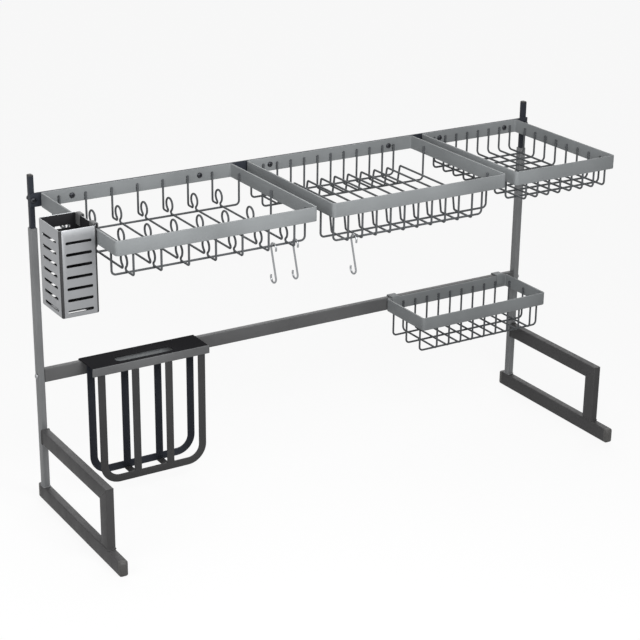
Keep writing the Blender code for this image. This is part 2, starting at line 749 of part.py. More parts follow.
def build_rim(name, left, length, rear, front, top, parent, holes=()):
    """The upright band round a rack: a closed strip with round corners."""
    right = left + length
    middle = Vector(((left + right) / 2, (rear + front) / 2, top - RIM_HEIGHT / 2))
    half_x, half_y = length / 2, (rear - front) / 2
    outside = rounded_rectangle((-half_x, -half_y), (half_x, half_y), RIM_CORNER_RADIUS, CORNER_STEPS)
    in_x, in_y = half_x - RIM_THICKNESS, half_y - RIM_THICKNESS
    inner_radius = RIM_CORNER_RADIUS - RIM_THICKNESS
    inside = rounded_rectangle((-in_x, -in_y), (in_x, in_y), inner_radius, CORNER_STEPS)
    rim = add_part(name, plate_mesh(name, [outside, inside], RIM_HEIGHT), middle, parent, PAINT)
    for number, hole_x in enumerate(holes, 1):
        place = Vector((hole_x, rear, top - RIM_HEIGHT / 2))
        drill(rim, f"{name}_hole_{number}", place - Y_AXIS * RIM_THICKNESS, place, parent)
    return rim


def bay_middle(first, pitch, bay):
    """The place midway between two neighbouring wires of a bed."""
    return first + (bay + HALF_SHARE) * pitch


def build_rack(name, left, length, screw_places, bed):
    """An upper rack: its rim, its bed of wires, and the two screws that hold it to the rear rail."""
    holes = [left + place for place in screw_places]
    build_rim(name + "_rim", left, length, RACK_REAR, RACK_FRONT, RACK_RIM_TOP, RACK, holes)
    bed(name + "_wire_bed", left, length)
    height = RACK_RIM_TOP - RIM_HEIGHT / 2
    for number, hole_x in enumerate(holes, 1):
        front_face = RACK_REAR - RIM_THICKNESS
        start = (hole_x, RAIL_FRONT, height)
        drill(REAR_RAIL, f"{name}_rail_hole_{number}", start, (hole_x, RAIL_REAR, height), RACK)
        shank = SEAT_GAP + RIM_THICKNESS + SEAT_GAP + RAIL_THICKNESS
        shank += SEAT_GAP + NUT_HEIGHT + SCREW_END
        seat = (hole_x, front_face - SEAT_GAP, height)
        add_screw(f"{name}_screw_{number}", seat, Y_AXIS, shank, RACK)
        add_nut(f"{name}_nut_{number}", (hole_x, RAIL_REAR + SEAT_GAP, height), Y_AXIS, RACK)


def weld_bed(name, cross_paths, long_paths, parent):
    """A bed of wires welded where they cross: one closed body."""
    place = Vector(cross_paths[0][0])
    cross = [[point - place for point in path] for path in cross_paths]
    along = [[point - place for point in path] for path in long_paths]
    bed = add_part(name, wire_mesh(name, along, WIRE_RADIUS), place, parent, WIRE_PAINT)
    cross_name = name + "_cross_wires"
    cutter = add_cutter(cross_name, wire_mesh(cross_name, cross, WIRE_RADIUS), place, parent)
    boolean(bed, cutter, "UNION")
    return bed


def long_wire(left, right, depth, height, top):
    """A wire along the rack whose two ends turn up inside the rim."""
    corners = [(left, depth, top), (left, depth, height), (right, depth, height), (right, depth, top)]
    return rounded_path(corners, WIRE_BEND_RADIUS, WIRE_BEND_STEPS)


def hump_points(centre_y, base):
    """A round hump with a narrow neck, in (Y, Z), from the flat wire before it to the flat wire after it."""
    foot = BOWL_HUMP_FOOT_RADIUS
    across = BOWL_HUMP_NECK + foot
    rise = math.sqrt((foot + BOWL_HUMP_RADIUS) ** 2 - across**2)
    lean = math.atan2(rise, across)
    centre = (centre_y, base + foot + rise)
    steps = BOWL_HUMP_FOOT_STEPS
    before = arc_points((centre_y - across, base + foot), foot, -math.pi / 2, lean, steps)
    over = arc_points(centre, BOWL_HUMP_RADIUS, math.pi + lean, -lean, BOWL_HUMP_STEPS)
    after = arc_points((centre_y + across, base + foot), foot, math.pi - lean, 3 * math.pi / 2, steps)
    return before + over[1:-1] + after


def bowl_bed(name, left, length):
    """Cross wires with round humps between which two rows of bowls stand."""
    base = RIM_BOTTOM - BOWL_BED_DEPTH
    front = RACK_FRONT + WIRE_INSET
    rear = RACK_REAR - WIRE_INSET
    first = RACK_FRONT + BOWL_FRONT_HUMP
    humps = [first + number * BOWL_HUMP_PITCH for number in range(BOWL_HUMP_COUNT)]
    cross_paths = []
    for number in range(BOWL_WIRE_COUNT):
        wire_x = left + BOWL_FIRST_WIRE + number * BOWL_WIRE_PITCH
        corners = [(wire_x, front, WIRE_TOP), (wire_x, front, base), (wire_x, humps[0], base)]
        entry = rounded_path(corners, WIRE_CORNER_RADIUS, WIRE_BEND_STEPS)
        corners = [(wire_x, humps[-1], base), (wire_x, rear, base), (wire_x, rear, WIRE_TOP)]
        leave = rounded_path(corners, WIRE_CORNER_RADIUS, WIRE_BEND_STEPS)
        path = entry[:-1]
        for centre_y in humps:
            path += [Vector((wire_x, y, z)) for y, z in hump_points(centre_y, base)]
        cross_paths.append(path + leave[1:])
    long_paths = []
    for centre_y in humps:
        depth = centre_y - BOWL_HUMP_NECK - BOWL_HUMP_FOOT_RADIUS
        long_paths.append(
            long_wire(left + WIRE_INSET, left + length - WIRE_INSET, depth, base - WIRE_STACK, WIRE_TOP)
        )
    weld_bed(name, cross_paths, long_paths, RACK)


def plate_bed(name, left, length):
    """Cross wires with one long hump each, between which the plates stand."""
    base = RIM_BOTTOM - PLATE_BED_DEPTH
    front = RACK_FRONT + WIRE_INSET
    rear = RACK_REAR - WIRE_INSET
    hump_front = RACK_FRONT + PLATE_TOE
    hump_rear = RACK_REAR - PLATE_TOE
    hump_top = base + PLATE_HUMP_HEIGHT
    cross_paths = []
    for number in range(PLATE_WIRE_COUNT):
        wire_x = left + PLATE_FIRST_WIRE + number * PLATE_WIRE_PITCH
        profile = [
            (front, WIRE_TOP),
            (front, base),
            (hump_front, base),
            (hump_front + PLATE_HUMP_LEAN, hump_top),
            (hump_rear - PLATE_HUMP_LEAN, hump_top),
            (hump_rear, base),
            (rear, base),
            (rear, WIRE_TOP),
        ]
        corners = [(wire_x, y, z) for y, z in profile]
        cross_paths.append(rounded_path(corners, WIRE_CORNER_RADIUS, WIRE_BEND_STEPS))
    wire_left = left + WIRE_INSET
    inside_right = left + length - WIRE_INSET
    bed_right = left + PLATE_BED_RIGHT
    below = base - WIRE_STACK
    long_paths = [
        long_wire(wire_left, bed_right, front + WIRE_NEST, base + WIRE_NEST, WIRE_TOP),
        long_wire(wire_left, inside_right, hump_front - PLATE_LONG_SPACE, below, WIRE_TOP),
        long_wire(wire_left, inside_right, hump_rear + PLATE_LONG_SPACE, below, WIRE_TOP),
        long_wire(wire_left, bed_right, rear - WIRE_NEST, base + WIRE_NEST, WIRE_TOP),
    ]
    weld_bed(name, cross_paths, long_paths, RACK)


def fruit_bed(name, left, length):
    """A plain shallow grid of wires."""
    base = RIM_BOTTOM - FRUIT_BED_DEPTH
    front = RACK_FRONT + WIRE_INSET
    rear = RACK_REAR - WIRE_INSET
    cross_paths = []
    for number in range(FRUIT_WIRE_COUNT):
        wire_x = left + FRUIT_FIRST_WIRE + number * FRUIT_WIRE_PITCH
        corners = [
            (wire_x, front, WIRE_TOP),
            (wire_x, front, base),
            (wire_x, rear, base),
            (wire_x, rear, WIRE_TOP),
        ]
        cross_paths.append(rounded_path(corners, WIRE_BEND_RADIUS, WIRE_BEND_STEPS))
    long_paths = []
    for number in range(FRUIT_LONG_COUNT):
        depth = RACK_FRONT + FRUIT_FRONT_LONG + number * FRUIT_LONG_PITCH
        long_paths.append(
            long_wire(left + WIRE_INSET, left + length - WIRE_INSET, depth, base - WIRE_STACK, WIRE_TOP)
        )
    weld_bed(name, cross_paths, long_paths, RACK)


def strip_hook(name, outline, width, place, turn, parent):
    """A flat strip bent into a hook: its outline is in the plane that it bends in."""
    hook = add_part(name, plate_mesh(name, [outline], width), place, parent, PAINT)
    hook.rotation_euler = turn
    return hook


def bent_strip(width, drop_near, drop_far, thickness):
    """The outline of a strip that goes over a bar: width is the space between its two legs."""
    return [
        (0, 0),
        (0, -drop_near),
        (thickness, -drop_near),
        (thickness, -thickness),
        (thickness + width, -thickness),
        (thickness + width, -drop_far),
        (2 * thickness + width, -drop_far),
        (2 * thickness + width, 0),
    ]


def build_holder():
    """The chopstick holder: a slotted sheet box with two hooks over the bowl rack's rim."""
    front = RACK_FRONT + HOLDER_FRONT_SPACE
    rear = front + HOLDER_DEPTH
    middle_x = (HOLDER_LEFT + HOLDER_RIGHT) / 2
    middle_y = (front + rear) / 2
    parent = moving_parent("chopstick_holder_slide", (middle_x, middle_y, HOLDER_TOP))
    body = add_block(
        "chopstick_holder",
        (HOLDER_LEFT, front, HOLDER_BOTTOM),
        (HOLDER_RIGHT, rear, HOLDER_TOP),
        parent,
        HOLDER_PAINT,
    )
    sheet = HOLDER_SHEET
    inside = (
        (HOLDER_LEFT + sheet, front + sheet, HOLDER_BOTTOM + sheet),
        (HOLDER_RIGHT - sheet, rear - sheet, HOLDER_TOP + CUT_OVERRUN),
    )
    cut_boxes(body, "holder_inside", [inside], parent)
    front_slots, side_slots = [], []
    for number in range(HOLDER_SLOT_COUNT):
        low_z = HOLDER_TOP - HOLDER_FIRST_SLOT - number * HOLDER_SLOT_PITCH - HOLDER_SLOT_HEIGHT
        high_z = low_z + HOLDER_SLOT_HEIGHT
        half = HOLDER_FRONT_SLOT_LENGTH / 2
        low = (middle_x - half, front - CUT_OVERRUN, low_z)
        front_slots.append((low, (middle_x + half, rear + CUT_OVERRUN, high_z)))
        half = HOLDER_SIDE_SLOT_LENGTH / 2
        low = (HOLDER_LEFT - CUT_OVERRUN, middle_y - half, low_z)
        side_slots.append((low, (HOLDER_LEFT + sheet + CUT_OVERRUN, middle_y + half, high_z)))
    cut_boxes(body, "holder_front_slots", front_slots, parent)
    cut_boxes(body, "holder_side_slots", side_slots, parent)
    drains = []
    first = middle_y - HOLDER_DRAIN_PITCH * (HOLDER_DRAIN_COUNT - 1) / 2
    for number in range(HOLDER_DRAIN_COUNT):
        drain_y = first + number * HOLDER_DRAIN_PITCH
        low = (middle_x - HOLDER_DRAIN_LENGTH / 2, drain_y - HOLDER_DRAIN_WIDTH / 2)
        high = (middle_x + HOLDER_DRAIN_LENGTH / 2, drain_y + HOLDER_DRAIN_WIDTH / 2)
        low_z, high_z = HOLDER_BOTTOM - CUT_OVERRUN, HOLDER_BOTTOM + sheet + CUT_OVERRUN
        drains.append(((*low, low_z), (*high, high_z)))
    cut_boxes(body, "holder_drains", drains, parent)

    thickness = HOLDER_HOOK_THICKNESS
    near_leg = HOLDER_RIGHT - sheet - SEAT_GAP - thickness
    space = sheet + SEAT_GAP + SEAT_GAP + RIM_THICKNESS + SEAT_GAP
    top = HOLDER_TOP + SEAT_GAP + thickness
    outline = bent_strip(space, HOLDER_HOOK_DROP, HOLDER_HOOK_DROP, thickness)
    hook_inset = HOLDER_HOOK_INSET + HOLDER_HOOK_WIDTH / 2
    places = (front + hook_inset, rear - hook_inset)
    for word, place_y in zip(("front", "rear"), places):
        strip_hook(
            f"chopstick_holder_{word}_hook",
            outline,
            HOLDER_HOOK_WIDTH,
            (near_leg, place_y, top),
            (math.pi / 2, 0, 0),
            parent,
        )


def build_knife_holder():
    """The knife and board holder: a slotted tray over the crossbar with two loops below it."""
    left, right = KNIFE_LEFT, KNIFE_LEFT + KNIFE_LENGTH
    middle_x = (left + right) / 2
    parent = moving_parent("knife_holder_slide", (middle_x, CROSSBAR_FRONT, CROSSBAR_TOP))
    underside = CROSSBAR_TOP + SEAT_GAP
    top = underside + KNIFE_SHEET
    front = -KNIFE_FRONT
    lip_front = CROSSBAR_REAR + SEAT_GAP
    lip_rear = lip_front + KNIFE_SHEET
    tray = add_block("knife_tray", (left, front, underside), (right, lip_rear, top), parent, PAINT)
    flanges = [
        ((left, front, top - KNIFE_BAR_HEIGHT), (right, front + KNIFE_BAR_THICKNESS, top)),
        ((left, lip_front, top - KNIFE_LIP_HEIGHT), (right, lip_rear, top)),
    ]
    middle, _ = centred(*flanges[0])
    local = [(Vector(low) - middle, Vector(high) - middle) for low, high in flanges]
    union = add_cutter("knife_tray_flanges", box_mesh("knife_tray_flanges", local), middle, parent)
    boolean(tray, union, "UNION")
    loop_front = front + KNIFE_BAR_THICKNESS
    rear_loop_rear = CROSSBAR_FRONT - SEAT_GAP
    rear_loop_front = rear_loop_rear - KNIFE_BAR_THICKNESS
    slot_left = left + KNIFE_SLOT_INSET
    slot_right = slot_left + KNIFE_SLOT_LENGTH
    slot_middle = (loop_front + rear_loop_front) / 2
    slot = (
        (slot_left, slot_middle - KNIFE_SLOT_WIDTH / 2, underside - CUT_OVERRUN),
        (slot_right, slot_middle + KNIFE_SLOT_WIDTH / 2, top + CUT_OVERRUN),
    )
    cut_boxes(tray, "knife_slot", [slot], parent)

    front_top = top - KNIFE_BAR_HEIGHT - SEAT_GAP
    front_y = front + KNIFE_BAR_THICKNESS / 2
    build_knife_loop("knife_front_loop", left, right, front_y, front_top, parent, top_strip=False)
    rear_top = underside - SEAT_GAP
    rear_y = rear_loop_rear - KNIFE_BAR_THICKNESS / 2
    build_knife_loop("knife_rear_loop", left, right, rear_y, rear_top, parent, top_strip=True)
    loop_left = left + KNIFE_LOOP_MARGIN
    loop_right = right - KNIFE_LOOP_MARGIN
    step = (loop_right - loop_left - KNIFE_LOOP_STRIP) / (KNIFE_MIDDLE_BARS + 1)
    for number in range(1, KNIFE_MIDDLE_BARS + 1):
        low_x = loop_left + number * step
        low = (low_x, loop_front + SEAT_GAP, KNIFE_LOOP_BOTTOM)
        high = (
            low_x + KNIFE_LOOP_STRIP,
            rear_loop_front - SEAT_GAP,
            KNIFE_LOOP_BOTTOM + KNIFE_STRAP_THICKNESS,
        )
        add_block(f"knife_bottom_strap_{number}", low, high, parent, PAINT)


def build_knife_loop(name, tray_left, tray_right, place_y, top, parent, top_strip):
    """A flat frame below the tray: legs and middle bars on a bottom with round corners."""
    left = tray_left + KNIFE_LOOP_MARGIN
    right = tray_right - KNIFE_LOOP_MARGIN
    middle_x = (left + right) / 2
    half = (right - left) / 2
    height = top - KNIFE_LOOP_BOTTOM
    strip = KNIFE_LOOP_STRIP
    radius, steps = KNIFE_LOOP_RADIUS, KNIFE_LOOP_STEPS
    low_left = arc_points((-half + radius, radius), radius, math.pi, 3 * math.pi / 2, steps)
    low_right = arc_points((half - radius, radius), radius, -math.pi / 2, 0, steps)
    outside = [(-half, height), *low_left, *low_right, (half, height)]
    bars = KNIFE_MIDDLE_BARS
    pitch = (2 * half - strip) / (bars + 1)
    bay = pitch - strip
    inner_radius = radius - strip
    bay_top = height - strip if top_strip else height
    holes = []
    for number in range(bars + 1):
        bay_left = -half + strip + number * pitch
        bay_right = bay_left + bay
        hole = [(bay_left, bay_top)]
        if number == 0:
            centre = (bay_left + inner_radius, strip + inner_radius)
            hole += arc_points(centre, inner_radius, math.pi, 3 * math.pi / 2, steps)
        else:
            hole.append((bay_left, strip))
        if number == bars:
            centre = (bay_right - inner_radius, strip + inner_radius)
            hole += arc_points(centre, inner_radius, -math.pi / 2, 0, steps)
        else:
            hole.append((bay_right, strip))
        hole.append((bay_right, bay_top))
        holes.append(hole)
    if not top_strip:
        for hole in reversed(holes):
            outside += reversed(hole)
        holes = []
    mesh = plate_mesh(name, [outside, *holes], KNIFE_BAR_THICKNESS)
    loop = add_part(name, mesh, (middle_x, place_y, KNIFE_LOOP_BOTTOM), parent, PAINT)
    loop.rotation_euler = (math.pi / 2, 0, 0)
    return loop


def build_caddy():
    """The soap caddy: a small rack with two hooks over the crossbar."""
    left, right = CADDY_LEFT, CADDY_LEFT + CADDY_LENGTH
    rear = CROSSBAR_FRONT - SEAT_GAP
    front = rear - CADDY_DEPTH
    parent = moving_parent("soap_caddy_slide", ((left + right) / 2, rear, CROSSBAR_TOP))
    build_rim("soap_caddy_rim", left, CADDY_LENGTH, rear, front, CROSSBAR_TOP, parent)
    rim_bottom = CROSSBAR_TOP - RIM_HEIGHT
    base = rim_bottom - CADDY_BED_DEPTH
    wire_top = rim_bottom + WIRE_WELD_LENGTH
    wire_front, wire_rear = front + WIRE_INSET, rear - WIRE_INSET
    cross_paths = []
    for number in range(CADDY_WIRE_COUNT):
        wire_x = left + CADDY_FIRST_WIRE + number * CADDY_WIRE_PITCH
        corners = [
            (wire_x, wire_front, wire_top),
            (wire_x, wire_front, base),
            (wire_x, wire_rear, base),
            (wire_x, wire_rear, wire_top),
        ]
        cross_paths.append(rounded_path(corners, WIRE_BEND_RADIUS, WIRE_BEND_STEPS))
    first = wire_front + CADDY_LONG_INSET
    pitch = (wire_rear - wire_front - 2 * CADDY_LONG_INSET) / (CADDY_LONG_COUNT - 1)
    long_paths = []
    for number in range(CADDY_LONG_COUNT):
        depth = first + number * pitch
        long_paths.append(
            long_wire(left + WIRE_INSET, right - WIRE_INSET, depth, base - WIRE_STACK, wire_top)
        )
    weld_bed("soap_caddy_wire_bed", cross_paths, long_paths, parent)

    thickness = CADDY_HOOK_THICKNESS
    space = RIM_THICKNESS + SEAT_GAP + CROSSBAR_DEPTH + 2 * SEAT_GAP
    near_leg = rear - RIM_THICKNESS - SEAT_GAP - thickness
    outline = bent_strip(space, CADDY_HOOK_DROP, CADDY_HOOK_DROP, thickness)
    top = CROSSBAR_TOP + SEAT_GAP + thickness
    places = (left + CADDY_HOOK_INSET, right - CADDY_HOOK_INSET)
    for word, place_x in zip(("left", "right"), places):
        strip_hook(
            f"soap_caddy_{word}_hook",
            outline,
            CADDY_HOOK_WIDTH,
            (place_x, near_leg, top),
            (math.pi / 2, 0, math.pi / 2),
            parent,
        )


def build_utensil_hook(name, wire_x, wire_y, wire_z):
    """An S-shaped hook on a wire of a bed: its origin is the wire's centre, about which it swings."""
    pivot = Vector((wire_x, wire_y, wire_z))
    parent = moving_parent(name + "_swing", pivot)
    radius = HOOK_BEND_RADIUS
    top_centre = WIRE_RADIUS + SEAT_GAP + HOOK_WIRE_RADIUS - radius
    low_centre = top_centre - (HOOK_LENGTH - 2 * radius)
    mouth = math.radians(HOOK_MOUTH_DEGREES)
    upper = arc_points((0, top_centre), radius, mouth, 0, HOOK_BEND_STEPS)
    lower = arc_points((0, low_centre), radius, math.pi, math.pi + mouth, HOOK_BEND_STEPS)
    path = [Vector((0, y, z)) for y, z in upper + lower]
    add_part(name, wire_mesh(name, [path], HOOK_WIRE_RADIUS), pivot, parent, STEEL)


SIDES = ((-1, "left"), (1, "right"))

clear_scene()
PARTS = new_collection("dish_rack")
CUTTERS = new_collection("dish_rack_cutters")
PAINT = new_material("dark_grey_paint", (0.085, 0.088, 0.092), 0.42, 0.55)
WIRE_PAINT = new_material("dark_grey_wire_paint", (0.070, 0.074, 0.080), 0.40, 0.55)
HOLDER_PAINT = new_material("light_grey_paint", (0.330, 0.335, 0.340), 0.45, 0.40)
STEEL = new_material("bright_steel", (0.520, 0.530, 0.540), 0.28, 1.00)
RUBBER = new_material("black_plastic", (0.030, 0.030, 0.032), 0.60, 0.00)

PARENT_PLACES = {"rack_origin": Vector((0, 0, 0))}
RACK = new_empty("rack_origin", (-(BOX_LEFT + BOX_RIGHT) / 2, -(BOX_FRONT + BOX_REAR) / 2, 0))

LOWER_POSTS = [build_side_frame(side, word) for side, word in SIDES]
REAR_RAIL = build_rail()
build_crossbar(LOWER_POSTS)
BOWL_SCREWS = [
    bay_middle(BOWL_FIRST_WIRE, BOWL_WIRE_PITCH, 0),
    bay_middle(BOWL_FIRST_WIRE, BOWL_WIRE_PITCH, BOWL_WIRE_COUNT - 2),
]
PLATE_SCREWS = [
    bay_middle(PLATE_FIRST_WIRE, PLATE_WIRE_PITCH, 0),
    bay_middle(PLATE_FIRST_WIRE, PLATE_WIRE_PITCH, PLATE_WIRE_COUNT - 1),
]
FRUIT_SCREWS = [
    bay_middle(FRUIT_FIRST_WIRE, FRUIT_WIRE_PITCH, 0),
    bay_middle(FRUIT_FIRST_WIRE, FRUIT_WIRE_PITCH, FRUIT_WIRE_COUNT - 2),
]
build_rack("bowl_rack", BOWL_RACK_LEFT, BOWL_RACK_LENGTH, BOWL_SCREWS, bowl_bed)
build_rack("plate_rack", PLATE_RACK_LEFT, PLATE_RACK_LENGTH, PLATE_SCREWS, plate_bed)
build_rack("fruit_rack", FRUIT_RACK_LEFT, FRUIT_RACK_LENGTH, FRUIT_SCREWS, fruit_bed)
build_holder()
build_knife_holder()
build_caddy()
BOWL_HOOK_WIRE_Y = RACK_FRONT + BOWL_FRONT_HUMP - BOWL_HUMP_NECK - BOWL_HUMP_FOOT_RADIUS
BOWL_HOOK_WIRE_Z = RIM_BOTTOM - BOWL_BED_DEPTH - WIRE_STACK
BOWL_LAST_WIRE = BOWL_FIRST_WIRE + (BOWL_WIRE_COUNT - 1) * BOWL_WIRE_PITCH
BOWL_HOOKS = (
    BOWL_RACK_LEFT + bay_middle(BOWL_FIRST_WIRE, BOWL_WIRE_PITCH, BOWL_WIRE_COUNT - 2),
    BOWL_RACK_LEFT + BOWL_LAST_WIRE + BOWL_END_HOOK_SPACE,
)
for hook_number, hook_x in enumerate(BOWL_HOOKS, 1):
    build_utensil_hook(f"utensil_hook_{hook_number}", hook_x, BOWL_HOOK_WIRE_Y, BOWL_HOOK_WIRE_Z)
PLATE_HOOK_WIRE_Y = RACK_FRONT + WIRE_INSET + WIRE_NEST
PLATE_HOOK_WIRE_Z = RIM_BOTTOM - PLATE_BED_DEPTH + WIRE_NEST
PLATE_HOOK_X = PLATE_RACK_LEFT + PLATE_FIRST_WIRE + PLATE_HOOK_SPACE
build_utensil_hook("utensil_hook_3", PLATE_HOOK_X, PLATE_HOOK_WIRE_Y, PLATE_HOOK_WIRE_Z)
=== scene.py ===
"""Looks of the dish rack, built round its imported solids. Lengths are in metres, in the row's frame."""

import json
import math
import random

import bmesh
import bpy
from mathutils import Matrix, Vector


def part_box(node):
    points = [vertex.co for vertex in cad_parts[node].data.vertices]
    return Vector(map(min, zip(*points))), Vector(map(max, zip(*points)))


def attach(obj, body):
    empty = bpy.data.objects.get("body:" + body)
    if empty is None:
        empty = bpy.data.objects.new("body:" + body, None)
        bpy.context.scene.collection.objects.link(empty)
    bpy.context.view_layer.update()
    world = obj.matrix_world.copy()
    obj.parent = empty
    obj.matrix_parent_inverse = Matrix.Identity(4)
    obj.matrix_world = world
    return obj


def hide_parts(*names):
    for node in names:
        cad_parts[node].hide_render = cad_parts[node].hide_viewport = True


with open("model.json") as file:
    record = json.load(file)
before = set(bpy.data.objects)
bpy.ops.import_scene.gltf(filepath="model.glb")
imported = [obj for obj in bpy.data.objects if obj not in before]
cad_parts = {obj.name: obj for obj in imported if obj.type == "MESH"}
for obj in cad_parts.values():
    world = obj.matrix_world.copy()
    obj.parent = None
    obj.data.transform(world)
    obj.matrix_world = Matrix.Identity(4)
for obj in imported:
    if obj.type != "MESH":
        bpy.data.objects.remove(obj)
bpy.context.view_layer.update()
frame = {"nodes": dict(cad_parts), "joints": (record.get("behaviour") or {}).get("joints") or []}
SEED = 17
random.seed(SEED)

X_AXIS = Vector((1, 0, 0))
Y_AXIS = Vector((0, 1, 0))
Z_AXIS = Vector((0, 0, 1))

# Camera, fitted to the photograph's straight edges. Its place is in the rack's own coordinates.
CAMERA_PLACE = Vector((-1.2665, -2.1330, 1.1624))
CAMERA_YAW = math.radians(31.6479)
CAMERA_PITCH = math.radians(21.2555)
CAMERA_ROLL = math.radians(0.6965)
FOCAL_PIXELS = 1731.27
PICTURE_PIXELS = 640
SENSOR_MILLIMETRES = 36
NEAREST = 0.05
FARTHEST = 60

# Steps of curves, the least cosine at a mitre, and the angles in degrees above which an edge stays sharp
CORNER_STEPS = 4
FEW_STEPS = 3
SLOT_END_STEPS = 6
STRIP_BEND_STEPS = 5
TURNED_SIDES = 28
LEAST_MITRE = 0.5
SMOOTH = 40
SCREW_SMOOTH = 35
NUT_SMOOTH = 30
WIRE_SMOOTH = 60
RECESS_SMOOTH = 1

# Wires and their welds
WIRE_RADIUS = 0.0015
WIRE_SIDES = 14
WIRE_STACK = 0.0021
WIRE_INSET = 0.0048
WELD_LENGTH = 0.012
TIGHT_BEND = 0.003
SOFT_BEND = 0.006
BEND_STEPS = 7
END_DOME_SHARE = 0.7
END_DOME_RINGS = (0.30, 0.71, 0.93)
DIAGONAL = math.sqrt(0.5)
NEST = TIGHT_BEND - (TIGHT_BEND - WIRE_STACK) * DIAGONAL
CROSS_WELD = Vector((0.0021, 0.0021, 0.0013))
CROSS_WELD_SPREAD = (0.92, 1.12)
TOP_WELD_COUNT = 3
TOP_WELD_PITCH = 0.0038
TOP_WELD_INSET = 0.0015
TOP_WELD_OFFSET = 0.0009
TOP_WELD_THIN = 0.0012
TOP_WELD_WIDE = 0.0021
TOP_WELD_TALL = 0.0017
BLOB_ROWS = 6
BLOB_COLUMNS = 10
BLOB_TIP = 0.15

# Bands round the racks
BAND_THICKNESS = 0.003
BAND_CORNER = 0.005
BAND_CORNER_STEPS = 8
BAND_EDGE = 0.0007

# Beds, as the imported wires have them
BOWL_DROP = 0.031
BOWL_FIRST = 0.0258
BOWL_PITCH = 0.0394
BOWL_COUNT = 7
HUMP_FIRST = 0.033
HUMP_PITCH = 0.092
HUMP_COUNT = 3
HUMP_RADIUS = 0.0095
HUMP_NECK = 0.0045
HUMP_FOOT = 0.0025
HUMP_STEPS = 18
HUMP_FOOT_STEPS = 6
PLATE_DROP = 0.037
PLATE_FIRST = 0.027
PLATE_PITCH = 0.023
PLATE_COUNT = 10
PLATE_TOE = 0.047
PLATE_LEAN = 0.006
PLATE_RISE = 0.030
PLATE_LONG_SPACE = 0.007
PLATE_END_SPACE = 0.0372
FRUIT_DROP = 0.025
FRUIT_FIRST = 0.023
FRUIT_PITCH = 0.0208
FRUIT_COUNT = 8
FRUIT_LONG_FIRST = 0.029
FRUIT_LONG_PITCH = 0.026
FRUIT_LONG_COUNT = 8
CADDY_DROP = 0.036
CADDY_FIRST = 0.0301
CADDY_PITCH = 0.0226
CADDY_COUNT = 9
CADDY_LONG_INSET = 0.010
CADDY_LONG_COUNT = 3

# Tubes and flat bars
TUBE_WALL = 0.0012
TUBE_CORNER = 0.0016
UPPER_WALL = 0.001
UPPER_CORNER = 0.0012
FLAT_CORNER = 0.0011
FLAT_EDGE = 0.0006
EDGE = 0.0004
SLIGHT_EDGE_SHARE = 0.29
LEAST_CORNER = 0.00005
LEAST_INNER_CORNER = 0.0002
POST_CAP_CORNER = 0.0014
# Rings of a post cap: inset and depth below its top
POST_CAP_PROFILE = ((0.0, 0.0010), (0.0003, 0.0005), (0.0010, 0.0001), (0.0022, 0.0))
CAP_GAP = 0.0003
# Rings of a base cap: inset, share of the way out and corner radius
BASE_CAP_PROFILE = (
    (0.0, 0.0, 0.0016),
    (0.0, 0.55, 0.0018),
    (0.0006, 0.74, 0.0024),
    (0.0019, 0.90, 0.0034),
    (0.0040, 1.0, 0.0040),
)

# Weld beads of the foot frames
SEAM_RADIUS = 0.0007
SEAM_SINK = 0.0003
SEAM_START_SHARE = 0.08
SEAM_STEPS = 12
BEAD_RADIUS = 0.0010
BEAD_SIDES = 8
BEAD_SPREAD = 0.0001

# Screws and nuts
HEAD_RADIUS = 0.004
HEAD_HEIGHT = 0.0022
HEAD_UNDERSIDE = 0.0001
# Rings of a screw's head: radius and share of its height
HEAD_PROFILE = ((0.0004, 1.0), (0.0018, 1.0), (0.0029, 0.90), (0.0037, 0.62), (HEAD_RADIUS, 0.28))
SHANK_RADIUS = 0.0020
THREAD_ROOT = 0.0017
THREAD_PITCH = 0.0007
THREAD_START_SHARE = 0.46
SCREW_END_RADIUS = 0.0013
SCREW_TIP_RADIUS = 0.0002
RECESS_DEPTH_SHARE = 0.55
RECESS_LOW = (0.0009, 0.00026)
RECESS_HIGH = (0.0017, 0.00040)
NUT_RADIUS = 0.0040
NUT_HEIGHT = 0.0032
NUT_CHAMFER = 0.0004
NUT_FACE_RADIUS = 0.0037
NUT_BORE = 0.0021
NUT_SIDES = 6
ROUND_STEPS = 36

# Chopstick holder
HOLDER_SHEET = 0.001
HOLDER_CORNER = 0.0032
HOLDER_CORNER_STEPS = 8
HOLDER_LEAST_CORNER = 0.0003
HOLDER_FOLD = 0.0022
HOLDER_FOLD_IN = 0.0007
HOLDER_FOLD_UP = 0.0006
HOLDER_INNER_FOLD = 0.0026
HOLDER_RIM_EDGE = 0.0002
HOLDER_RIM_DROP = 0.0004
HOLDER_HOOK_THICKNESS = 0.0013
HOLDER_SLOT_COUNT = 7
HOLDER_FIRST_SLOT = 0.016
HOLDER_SLOT_PITCH = 0.0154
HOLDER_SLOT_HEIGHT = 0.004
HOLDER_FRONT_SLOT = 0.036
HOLDER_SIDE_SLOT = 0.044
HOLDER_DRAIN_COUNT = 3
HOLDER_DRAIN_PITCH = 0.016
HOLDER_DRAIN_LENGTH = 0.030
HOLDER_DRAIN_WIDTH = 0.005
CUTTER_DEPTH = 0.012

